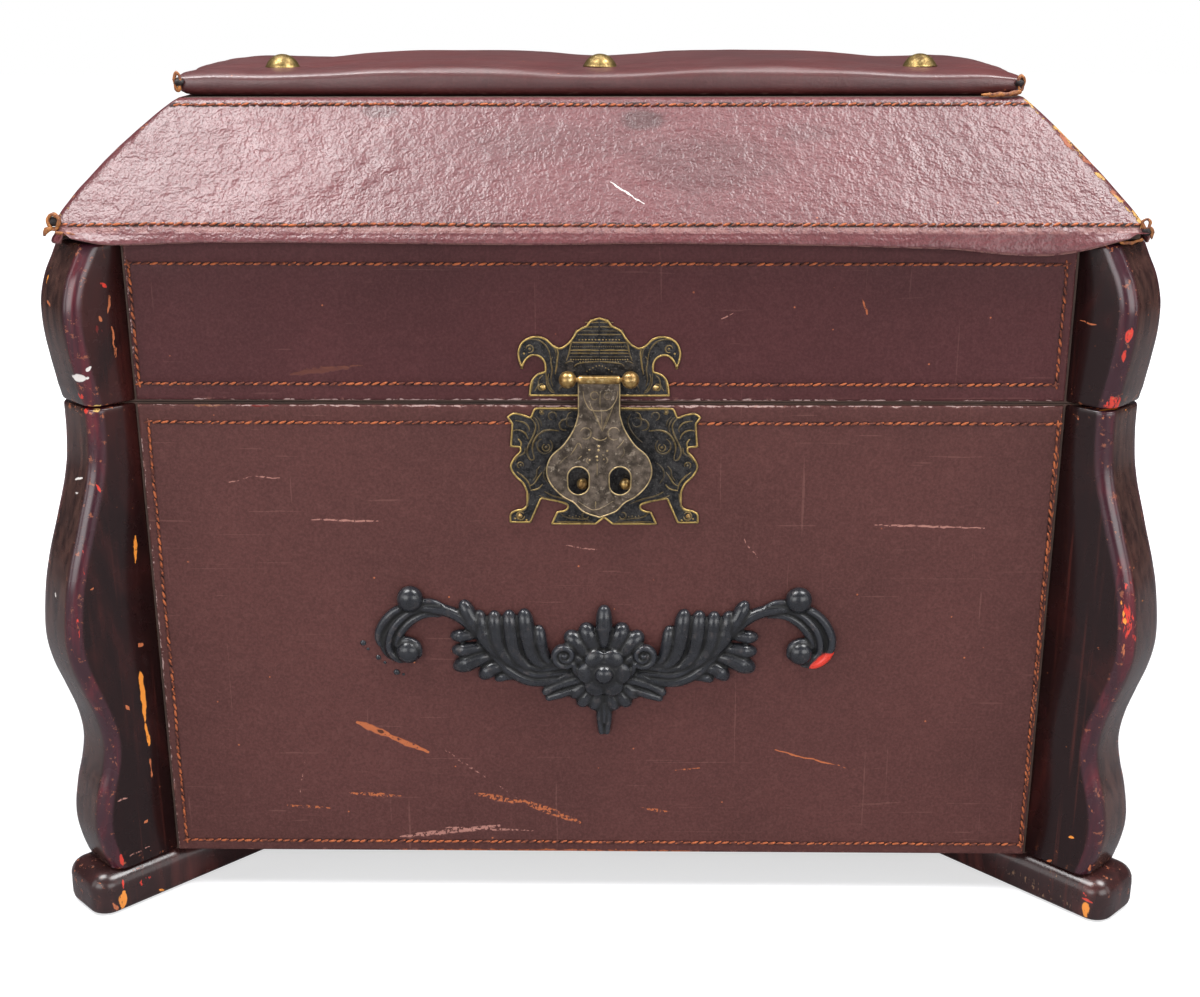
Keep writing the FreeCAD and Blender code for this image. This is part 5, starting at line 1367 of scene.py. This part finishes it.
def carvedOrnament(look=ornamentLook):
    heap = ornamentShells()
    points = [place(x + look["centreX"], y, z + look["centreZ"]) for x, y, z in heap.points]
    piece = linked("carvedOrnament", newMesh("carvedOrnament", points, heap.faces))
    mesh = voxelRemesh(piece, look["voxel"])
    spots = pointsOf(mesh)
    pairs = np.zeros(len(mesh.edges) * 2, int)
    mesh.edges.foreach_get("vertices", pairs)
    pairs = pairs.reshape(-1, 2)
    degree = np.bincount(pairs.ravel(), minlength=len(spots))[:, None]

    def meanOfNeighbours(values):
        total = np.zeros_like(values)
        np.add.at(total, pairs[:, 0], values[pairs[:, 1]])
        np.add.at(total, pairs[:, 1], values[pairs[:, 0]])
        return total / np.maximum(degree, 1)

    spots = spots * 0.4 + meanOfNeighbours(spots) * 0.6
    spots[:, 1] = np.minimum(spots[:, 1], frontFace + 0.25 * mm)
    mesh.vertices.foreach_set("co", spots.ravel())
    mesh.update()
    normals = np.array([v.normal for v in mesh.vertices])
    bulge = ((spots - meanOfNeighbours(spots)) * normals).sum(axis=1)[:, None] / mm
    bulge = meanOfNeighbours(meanOfNeighbours(bulge))[:, 0]
    # wear here is how far each point bulges out, which paints ridges lighter as a painted highlight; groove is how far
    # it sinks in, which paints grooves near-black as painted shade
    setValues(mesh, wear=np.clip(bulge / 0.035, 0, 1), groove=np.clip(-bulge / 0.04, 0, 1))
    dress(mesh, carving)
    enlist(piece, "base", "carved_ornament")


carvedOrnament()
print("ornament made")


# torn leather at the lower corners of the cover and the split ends of the cushion

def ovalRing(x, z, wide, tall, radius, depth):
    ring = [(x + wide * math.cos(a) * (1 + 0.12 * math.sin(3 * a)), z + tall * math.sin(a)) for a in circle(20)]
    return closedRib(ring, radius, 1.1, depth, 8)


def tornPiece(name, shells, slotName):
    heap = shellHeap()
    for shell, wear in shells:
        heap.add(shell, wear)
    rough = [place(*(Vector(p) + noise.noise_vector(Vector(p) * 0.4) * 0.7)) for p in heap.points]
    addPiece(name, rough, heap.faces, torn, "lid", slotName, wear=heap.wear)


# in each hole the roundBall given 0.0 is near-black: painted shade inside the torn hole
tornPiece("tornHem", [
    (ovalRing(-285.4, 401.0, 2.8, 3.9, 1.0, -5.6), 0.9), (roundBall(-285.4, -4.2, 400.8, 2.8, 0.8), 0.0),
    (roundedRib([(-286, 398), (-289.5, 396.4), (-291, 393.4)], [1.3, 1.5, 0.9], 0.7, -6.4), 0.7),
    (roundedRib([(-284, 395.8), (-279, 395.0), (-273, 394.6)], [0.9, 1.0, 0.6], 0.7, -8.6), 0.9),
    (ovalRing(284.6, 400.0, 1.9, 2.3, 0.85, -5.8), 0.8), (roundBall(285.4, -5.6, 395.8, 2.5, 0.7), 0.0),
    (roundedRib([(286, 398.6), (288.2, 395.8), (287.4, 392)], [0.9, 1.1, 0.8], 0.7, -6.8), 0.6),
    (roundedRib([(283, 392.6), (277, 390.8), (271, 390.8)], [0.8, 1.0, 0.7], 0.7, -8.8), 0.9),
], "slope_leather")
# the roundBall shells given 0.0 are near-black: painted shade inside the split ends
tornPiece("tornCushion", [
    (ovalRing(-229.8, 468.4, 1.5, 4.6, 0.9, 52.0), 0.9), (roundBall(-229.2, 53.0, 468.0, 2.6, 1.0), 0.0),
    (ovalRing(228.2, 467.4, 1.5, 3.8, 0.9, 52.0), 0.8), (roundBall(227.6, 53.0, 467.4, 2.6, 1.0), 0.0),
    (roundedRib([(228, 463.0), (219, 461.8), (206, 461.2)], [1.2, 1.3, 0.7], 0.8, 49.0), 0.8),
], "cushion_leather")
print("torn leather made")


# hasp plates: outlines as shares of the half width and height, chased lines on drawing grids

upperOutline = [
    [(0, 0), (0.87, 0)],
    [(0.87, 0), (0.86, 0.12), (0.83, 0.22), (0.76, 0.29), (0.67, 0.32)],
    [(0.67, 0.32), (0.68, 0.43), (0.74, 0.5), (0.83, 0.51), (0.9, 0.45), (0.95, 0.34)],
    [(0.95, 0.34), (0.99, 0.45), (1.0, 0.57), (0.94, 0.7), (0.8, 0.765), (0.66, 0.74), (0.56, 0.65)],
    [(0.56, 0.65), (0.49, 0.62), (0.42, 0.65), (0.35, 0.72), (0.28, 0.83)],
    [(0.28, 0.83), (0.22, 0.87), (0.16, 0.895)],
    [(0.16, 0.895), (0.11, 0.96), (0, 1)],
]
lowerOutline = [
    [(0, 0.055), (0.085, 0)], [(0.085, 0), (0.56, 0)], [(0.56, 0), (0.495, 0.115)],
    [(0.495, 0.115), (0.42, 0.125), (0.385, 0.15), (0.4, 0.175), (0.48, 0.195)],
    [(0.48, 0.195), (0.652, 0.222)], [(0.652, 0.222), (0.765, 0.013)], [(0.765, 0.013), (0.99, 0.013)],
    [(0.99, 0.013), (0.985, 0.09), (0.93, 0.125), (0.85, 0.14), (0.81, 0.17)], [(0.81, 0.17), (0.81, 0.285)],
    [(0.81, 0.285), (0.85, 0.355), (0.93, 0.42), (0.975, 0.5), (0.93, 0.58), (0.87, 0.63)],
    [(0.87, 0.63), (0.87, 0.66)],
    [(0.87, 0.66), (0.97, 0.665)], [(0.97, 0.665), (0.95, 0.86)], [(0.95, 0.86), (1.0, 0.92)],
    [(1.0, 0.92), (0.93, 0.955), (0.84, 0.945), (0.755, 0.92)],
    [(0.755, 0.92), (0.72, 0.985), (0.68, 1)], [(0.68, 1), (0, 1)],
]
haspOutline = [
    [(0, 0), (0.3, 0.055), (0.49, 0.148), (0.7, 0.208), (0.92, 0.327), (1.0, 0.46),
     (0.91, 0.6), (0.67, 0.715), (0.48, 0.862), (0.393, 1)], [(0.393, 1), (0.393, 1.31)], [(0.393, 1.31), (0, 1.31)],
]


def outlinePoints(strokes, centre, halfWidth, bottom, height):  # right half from bottom middle, then the mirrored half
    right = []
    for stroke in strokes:
        spots = smoothCurve(stroke, len(stroke) * 5) if len(stroke) > 2 else np.array(stroke, float)
        right += [tuple(p) for p in (spots if not right else spots[1:])]
    ring = right + [(-x, z) for x, z in right[::-1]][1:-1]
    return [(centre + x * halfWidth, bottom + z * height) for x, z in ring]


def plateSlab(rings, thickness, front, bevel=0.22):  # bevelled sheet from outline rings, holes included
    curve = bpy.data.curves.new("slab", "CURVE")
    curve.dimensions, curve.fill_mode, curve.bevel_resolution = "2D", "BOTH", 1
    curve.extrude, curve.bevel_depth, curve.offset = thickness / 2 - bevel, bevel, -bevel
    for ring in rings:
        line = curve.splines.new("POLY")
        line.points.add(len(ring) - 1)
        for k, (x, z) in enumerate(ring):
            line.points[k].co = (x, z, 0, 1)
        line.use_cyclic_u = True
    holder = linked("slab", curve)
    mesh = outwards(evaluated(holder), 1e-4)
    bpy.data.objects.remove(holder)
    points = [(v.co.x, front + thickness / 2 - v.co.z, v.co.y) for v in mesh.vertices]
    return points, [tuple(face.vertices) for face in mesh.polygons]


def evenRing(ring, step=0.8):
    loop = np.array(ring + [ring[0]], float)
    lengths = runLengths(loop)
    spots = np.linspace(0, lengths[-1], int(lengths[-1] / step) + 1)[:-1]
    return list(zip(*(np.interp(spots, lengths, loop[:, k]) for k in (0, 1))))


def platePiece(name, node, body, slotName, material, rings, thickness, front, rim, lines, dots, spotOf, mirrorX=None):
    heap = shellHeap()
    heap.add(plateSlab(rings, thickness, front))
    flatCount = len(heap.faces)
    for ring in rings:
        inset = rim[0] if ring is rings[0] else 0.0
        inner = [(x + left * inset, z + up * inset) for x, z, left, up in sidewards(evenRing(ring))]
        heap.add(closedRib(inner, rim[1], 0.9, front), 1.0)
    sides = [lambda x: x] if mirrorX is None else [lambda x: x, lambda x: 2 * mirrorX - x]
    for radius, wear, *path in lines:
        taper = [radius * 0.5, radius, radius, radius * 0.5]
        spots = [spotOf(u, v) for u, v in zip(path[::2], path[1::2])]
        for moved in sides:
            heap.add(roundedRib([(moved(x), z) for x, z in spots], taper, 1.0, front - 0.05, 0.8, 6), wear)
    for u, v, radius, wear in dots:
        x, z = spotOf(u, v)
        for moved in sides:
            heap.add(roundBall(moved(x), front, z, radius, 0.9, 8), wear)
    piece = addPiece(name, [place(*p) for p in heap.points], heap.faces, material, body, slotName, node, wear=heap.wear)
    piece.data.polygons.foreach_set("use_smooth", [k >= flatCount for k in range(len(piece.data.polygons))])


def upperSpot(u, v):  # the drawing grids are in about twelfths of a millimetre
    return u * 0.0832 - 64.8, 305.9 + (634 - v) * 0.0845


def lowerSpot(u, v):
    return u * 0.0841 - 65.5, 299.8 - (v - 705) * 0.0881


def haspSpot(u, v):
    return (u - 765) * 0.0824 + 0.4, 239.4 + (1412 - v) * 0.0878


def ringOf(u, v, radius, start=0, sweep=330, count=9):  # an open ring as a flat list of u and v
    turns = [math.radians(start + sweep * k / (count - 1)) for k in range(count)]
    return [value for a in turns for value in (u + radius * math.cos(a), v + radius * math.sin(a))]


upperLines = [  # half width in mm, brightness, then u and v of each point
    (0.55, 0.45, 500, 305, 517, 340, 512, 390, 506, 440, 496, 490), (0.4, 0.2, 470, 290, 500, 330, 505, 380),
    (0.5, 0.25, 436, 470, 440, 510, 445, 560, 470, 600, 495, 612),
    (0.45, 0.3, 385, 485, 360, 515, 347, 560, 342, 605), (0.45, 0.35, *ringOf(333, 322, 24, 180, 300)),
    (0.45, 0.25, 270, 330, 280, 290, 320, 262, 380, 262, 430, 290, 460, 340, 470, 400),
    (0.5, 0.2, 485, 370, 470, 400, 478, 460, 470, 520, 482, 570),
    (0.45, 0.25, 455, 480, 450, 530, 468, 580, 492, 604), (0.5, 0.3, *ringOf(408, 572, 22, 0, 320)),
    (0.45, 0.25, 360, 600, 385, 560, 392, 520, 420, 490),
    (0.5, 0.3, 640, 192, 618, 240, 600, 292, 588, 350, 570, 400), (0.5, 0.25, 700, 180, 783, 178),
    (0.45, 0.1, 655, 205, 783, 205), (0.5, 0.25, 640, 228, 783, 228), (0.5, 0.4, 606, 280, 783, 280),
    (0.5, 0.45, 594, 330, 783, 330), (0.45, 0.3, 588, 349, 783, 349), (0.4, 0.1, 575, 372, 783, 372),
    (0.5, 0.25, 620, 440, 640, 420, 700, 410, 783, 404), (0.45, 0.15, 560, 420, 590, 402, 620, 408),
    (0.5, 0.1, 520, 600, 540, 560, 600, 540), (0.4, 0.35, 690, 150, 783, 150), (0.35, 0.5, 720, 134, 783, 130),
]
upperDots = [(u, 262, 0.42, 0.55) for u in range(655, 784, 21)] + [(u, 307, 0.4, 0.2) for u in range(612, 784, 13)]
upperDots += [(u, 391, 0.4, 0.5) for u in range(600, 784, 16)] + [(u, 405, 0.35, 0.3) for u in range(660, 784, 18)]
upperDots += [(u, v, 0.35, 0.6) for u, v in ((703, 468), (722, 456), (742, 445), (764, 434), (783, 430))]
upperDots += [(u, 180, 0.4, 0.5) for u in (720, 745, 770)]
upperDots += [(334, 322, 0.8, 0.3), (408, 572, 1.1, 0.85), (296, 352, 0.6, 0.9)]
lowerLines = [
    (0.5, 0.3, 235, 790, 270, 795, 305, 808, 328, 842, 322, 865), (0.5, 0.3, 215, 858, 255, 850, 300, 870, 322, 912),
    (0.5, 0.6, 262, 975, 275, 940, 262, 915, 250, 905),
    (0.6, 0.25, 330, 770, 356, 792, 370, 832, 352, 890, 326, 940, 310, 990, 330, 1040, 356, 1040, 352, 1005),
    (0.55, 0.15, 350, 762, 378, 790, 392, 835, 380, 880), (0.5, 0.1, 375, 760, 400, 790, 410, 830),
    (0.7, 0.25, 524, 856, 450, 850, 395, 872, 362, 912, 346, 962, 352, 1010),
    (0.6, 0.15, *ringOf(428, 952, 50, 250, -300)), (0.5, 0.25, *ringOf(436, 962, 24, 250, -320)),
    (0.6, 0.2, 610, 730, 582, 748, 572, 778, 545, 786, 524, 812, 536, 845, 570, 852),
    (0.5, 0.15, *ringOf(480, 760, 26, 90, 300)), (0.5, 0.1, *ringOf(600, 800, 30, 0, 300)),
    (0.45, 0.3, *ringOf(412, 735, 14, 0, 340)), (0.5, 0.25, *ringOf(266, 1078, 20, 100, 290)),
    (0.5, 0.2, 228, 1060, 250, 1022, 292, 1000, 300, 960), (0.5, 0.35, 240, 1120, 280, 1150, 318, 1195, 330, 1240),
    (0.5, 0.3, 322, 1214, 352, 1200, 380, 1160, 410, 1120), (0.5, 0.35, 325, 1245, 380, 1232, 412, 1200),
    (0.5, 0.15, 345, 1180, 370, 1150, 375, 1110, 400, 1080), (0.5, 0.3, 320, 1260, 312, 1320, 290, 1370, 240, 1385),
    (0.5, 0.2, 420, 1250, 480, 1280, 560, 1300, 640, 1330), (0.45, 0.25, 380, 1275, 450, 1300, 520, 1320, 580, 1345),
    (0.55, 0.4, *ringOf(262, 1412, 26, 0, 330)), (0.5, 0.15, 520, 1390, 560, 1420, 640, 1430, 720, 1440),
    (0.5, 0.2, *ringOf(690, 1410, 22, 0, 300)), (0.55, 0.12, 470, 1060, 430, 1100, 420, 1150, 450, 1200),
    (0.6, 0.1, 640, 745, 660, 790, 640, 850, 600, 900, 560, 930),
    (0.4, 0.15, 440, 720, 540, 722, 700, 722, 812, 722), (0.35, 0.3, 500, 1450, 620, 1452, 740, 1452),
]
lowerDots = [(262, 1412, 1.0, 0.8), (412, 735, 0.7, 0.5), (300, 1440, 0.6, 0.8), (225, 1430, 0.5, 0.8),
             (437, 962, 1.0, 0.2), (268, 1078, 0.8, 0.2)]
lowerDots += [(540 + 22 * k, 1412 + 6 * (k % 2), 0.4, 0.3) for k in range(6)]
haspLines = [
    (0.32, 0.35, 775, 590, 771, 640, 772, 700), (0.35, 0.45, *ringOf(735, 622, 26, 30, 330)),
    (0.3, 0.25, *ringOf(822, 622, 24, 30, 330)),
    (0.35, 0.5, 660, 590, 668, 640, 690, 690, 720, 715, 812, 715, 850, 690, 880, 640, 888, 590),
    (0.32, 0.4, 700, 655, 720, 705, 750, 770, 785, 850), (0.32, 0.4, 870, 655, 845, 720, 815, 790, 785, 850),
    (0.28, 0.3, 740, 730, 760, 780, 785, 840), (0.28, 0.3, 830, 730, 810, 780, 788, 840),
    (0.28, 0.35, 780, 728, 784, 835), (0.4, 0.4, *ringOf(676, 862, 36, 200, 290)),
    (0.4, 0.3, *ringOf(862, 864, 40, 340, -290)), (0.35, 0.25, 640, 800, 600, 830, 590, 860),
    (0.4, 0.7, 720, 885, 745, 900, 772, 906, 800, 900, 816, 886),
    (0.35, 0.45, 575, 1002, 605, 960, 630, 922, 652, 962), (0.35, 0.5, 622, 1032, 652, 1004),
    (0.35, 0.3, 880, 960, 910, 930, 930, 900), (0.3, 0.2, 905, 1020, 930, 990, 925, 950),
    (0.38, 0.3, 750, 1050, 752, 1100, 750, 1140), (0.35, 0.5, 741, 1300, 740, 1350),
    (0.3, 0.3, 700, 1060, 680, 1040, 690, 1015), (0.3, 0.3, 800, 1060, 820, 1040, 812, 1012),
    (0.3, 0.2, 500, 1060, 540, 1020, 560, 1010), (0.3, 0.25, 620, 1300, 680, 1340, 730, 1360, 790, 1340, 860, 1300),
]
haspDots = [(700, 968, 0.65, 0.9), (762, 944, 0.75, 0.95), (760, 970, 0.75, 0.95), (818, 974, 0.6, 0.85),
            (750, 1012, 0.75, 0.95), (752, 1034, 0.6, 0.9), (702, 1034, 0.5, 0.8), (795, 1028, 0.5, 0.8),
            (735, 1215, 0.35, 0.1), (790, 1000, 0.4, 0.6)]

haspLook = {"centre": 0.4, "halfWidth": 29.0, "tip": 239.4, "neck": 298.2, "front": -10.1, "thickness": 1.4,
            "holeX": 11.35, "holeZ": 260.8, "holeWide": 12.0, "holeTall": 16.2,
            "rodY": -11.0, "rodZ": 317.7, "knuckle": 2.3, "knuckleHalf": 11.2}


def haspPiece(look=haspLook):
    ring = outlinePoints(haspOutline, look["centre"], look["halfWidth"], look["tip"], look["neck"] - look["tip"])
    radius, straight = look["holeWide"] / 2, (look["holeTall"] - look["holeWide"]) / 2
    holes = [[(look["centre"] + side * look["holeX"] + radius * math.cos(a),
               look["holeZ"] + (straight if math.sin(a) >= 0 else -straight) + radius * math.sin(a))
              for a in circle(28)] for side in (-1, 1)]
    platePiece("haspPlate", "hasp_plate", "hasp", "hasp_bronze", plates["haspBronze"], [ring] + holes,
               look["thickness"], look["front"], (0.35, 0.42), haspLines, haspDots, haspSpot)


def haspKnuckle(look=haspLook, segments=24):  # the rolled eye around the rod
    rings = [(-1.0, 0.62), (-0.985, 0.9), (-0.95, 1.0)] + [(k / 5 - 0.8, 1.0) for k in range(9)]
    rings += [(0.95, 1.0), (0.985, 0.9), (1.0, 0.62)]
    points = [place(look["centre"] + share * look["knuckleHalf"], look["rodY"] + look["knuckle"] * girth * math.cos(a),
                    look["rodZ"] + look["knuckle"] * girth * math.sin(a)) for share, girth in rings
              for a in circle(segments)]
    addPiece("haspKnuckle", points, tubeFaces(len(rings), segments), metals["agedBrass"], "hasp", "hasp_bronze")


platePiece("haspUpperPlate", "hasp_upper_plate", "lid", "plate_bronze", plates["plateBronze"],
           [outlinePoints(upperOutline, 0.4, 44.0, 306.0, 43.6)], 1.0, -1.0, (0.55, 0.6),
           upperLines, upperDots, upperSpot, 0.4)
platePiece("haspLowerPlate", "hasp_lower_plate", "base", "plate_bronze", plates["plateBronze"],
           [outlinePoints(lowerOutline, 2.9, 53.2, 232.4, 67.4)], 1.0, -1.0, (0.55, 0.6),
           lowerLines, lowerDots, lowerSpot, 2.9)
haspPiece()
haspKnuckle()
print("hasp made")


# parts kept as they are, with their looks

walls = ("front", "back", "left", "right")
keptNodes = {
    boards: ["base_%s_board" % side for side in walls + ("floor",)] + ["lid_top_board"]
    + ["lid_%s%s_board" % (side, slope) for side in walls for slope in ("", "_slope")],
    linings: ["base_lining", "lid_lining"],
    metals["hingeBrass"]: ["hinge_%s_leaf" % leaf for leaf in ("left_base", "right_base", "left_lid", "right_lid")]
    + ["hinge_pins"],
    metals["agedBrass"]: ["hinge_base_screws", "hinge_lid_screws", "hasp_upper_nails", "hasp_lower_nails",
                          "hasp_staples", "hasp_rod"],
}
for material, nodes in keptNodes.items():
    for node in nodes:
        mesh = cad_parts[node].data
        mesh.materials.clear()
        mesh.materials.append(material)
print("kept parts dressed")


# camera, light and ground

viewLook = {"x": 13.1, "y": -1007.2, "z": 523.9, "pitch": 18.155, "yaw": -0.845, "roll": -0.097, "lens": 48.0}
lightLooks = {  # place and target in m, size across and deep in m, power in W
    "leftOverheadLight": ((-0.80, -0.42, 2.1), (-0.1, 0.0, 0.3), 0.8, 0.95, 46),
    "rightOverheadLight": ((1.0, -0.42, 2.1), (0.1, 0.0, 0.3), 0.8, 0.95, 46),
    "topLight": ((0.1, 0.45, 2.1), (0.0, 0.0, 0.4), 2.4, 0.6, 20),
    "frontLight": ((0.0, -2.8, 1.3), (0, 0.0, 0.25), 2.6, 1.0, 4),
    "leftSoftbox": ((-1.1, -1.75, 0.66), (0, 0, 0.25), 1.25, 0.9, 16),
    "rightSoftbox": ((1.1, -1.75, 0.66), (0, 0, 0.25), 1.25, 0.9, 15),
    "leftLight": ((-2.2, -1.1, 0.9), (0, 0, 0.25), 0.5, 1.6, 7),
    "rightLight": ((2.2, -1.1, 0.9), (0, 0, 0.25), 0.5, 1.6, 6),
}


def placeCamera(look=viewLook):
    pitch, yaw, roll = (math.radians(look[k]) for k in ("pitch", "yaw", "roll"))
    forward = Vector((math.sin(yaw) * math.cos(pitch), math.cos(yaw) * math.cos(pitch), -math.sin(pitch)))
    right = Vector((math.cos(yaw), -math.sin(yaw), 0))
    up = right.cross(forward)
    across = right * math.cos(roll) + up * math.sin(roll)
    upward = up * math.cos(roll) - right * math.sin(roll)
    camera = linked("photoCamera", bpy.data.cameras.new("photoCamera"))
    turn = Matrix((across, upward, -forward)).transposed().to_4x4()
    camera.matrix_world = Matrix.Translation(Vector((look["x"], look["y"], look["z"])) * mm) @ turn
    camera.data.lens, camera.data.sensor_width = look["lens"], 36
    bpy.context.scene.camera = camera


def placeLights():
    for name, (spot, target, wide, deep, power) in lightLooks.items():
        data = bpy.data.lights.new(name, "AREA")
        data.shape, data.size, data.size_y, data.energy = "RECTANGLE", wide, deep, power
        lamp = linked(name, data)
        lamp.location = spot
        lamp.rotation_euler = (Vector(target) - Vector(spot)).to_track_quat("-Z", "Y").to_euler()


def makeWorld(strength=0.12):
    world = bpy.data.worlds.new("paleRoom")
    bpy.context.scene.world = world
    world.use_nodes = True
    sky = nodeGraph(world.node_tree)
    rays = sky.node("ShaderNodeLightPath").outputs
    seen = sky.most(rays["Is Camera Ray"], rays["Is Transmission Ray"])
    power = sky.most(sky.sub(strength, sky.mul(rays["Is Glossy Ray"], strength * 0.5)), seen)
    background = sky.tree.nodes["Background"]
    sky.put(background.inputs[0], sky.mix(seen, (0.9, 0.93, 1.0), (1, 1, 1)))
    sky.put(background.inputs[1], power)


def makeFloor():
    ground = surface("paleFloor")
    rays = ground.node("ShaderNodeLightPath").outputs
    away = ground.vector("LENGTH", ground.vector("MULTIPLY", ground.where, (0.8, 1.0, 0)))
    glow = ground.add(0.57, ground.mul(ground.step(away, 0.3, 0.75), 0.43))
    given = {
        "Base Color": ground.mix(rays["Is Glossy Ray"], (0.5, 0.5, 0.51), (0.2, 0.2, 0.21)),
        "Emission Strength": ground.mul(rays["Is Camera Ray"], glow), "Emission Color": (1, 1, 1, 1),
        "Roughness": 0.9, "Specular IOR Level": 0.1}
    for name, value in given.items():
        ground.put(ground.shader.inputs[name], value)
    floor = linked("paleFloor", newMesh("paleFloor", [(-6, -4, 0), (6, -4, 0), (6, 8, 0), (-6, 8, 0)], [(0, 1, 2, 3)]))
    floor.location.z = -0.0002
    floor.data.materials.append(ground.material)


placeCamera()
placeLights()
makeWorld()
makeFloor()
bpy.context.scene.view_settings.view_transform = "Standard"
print("camera, light and floor placed")
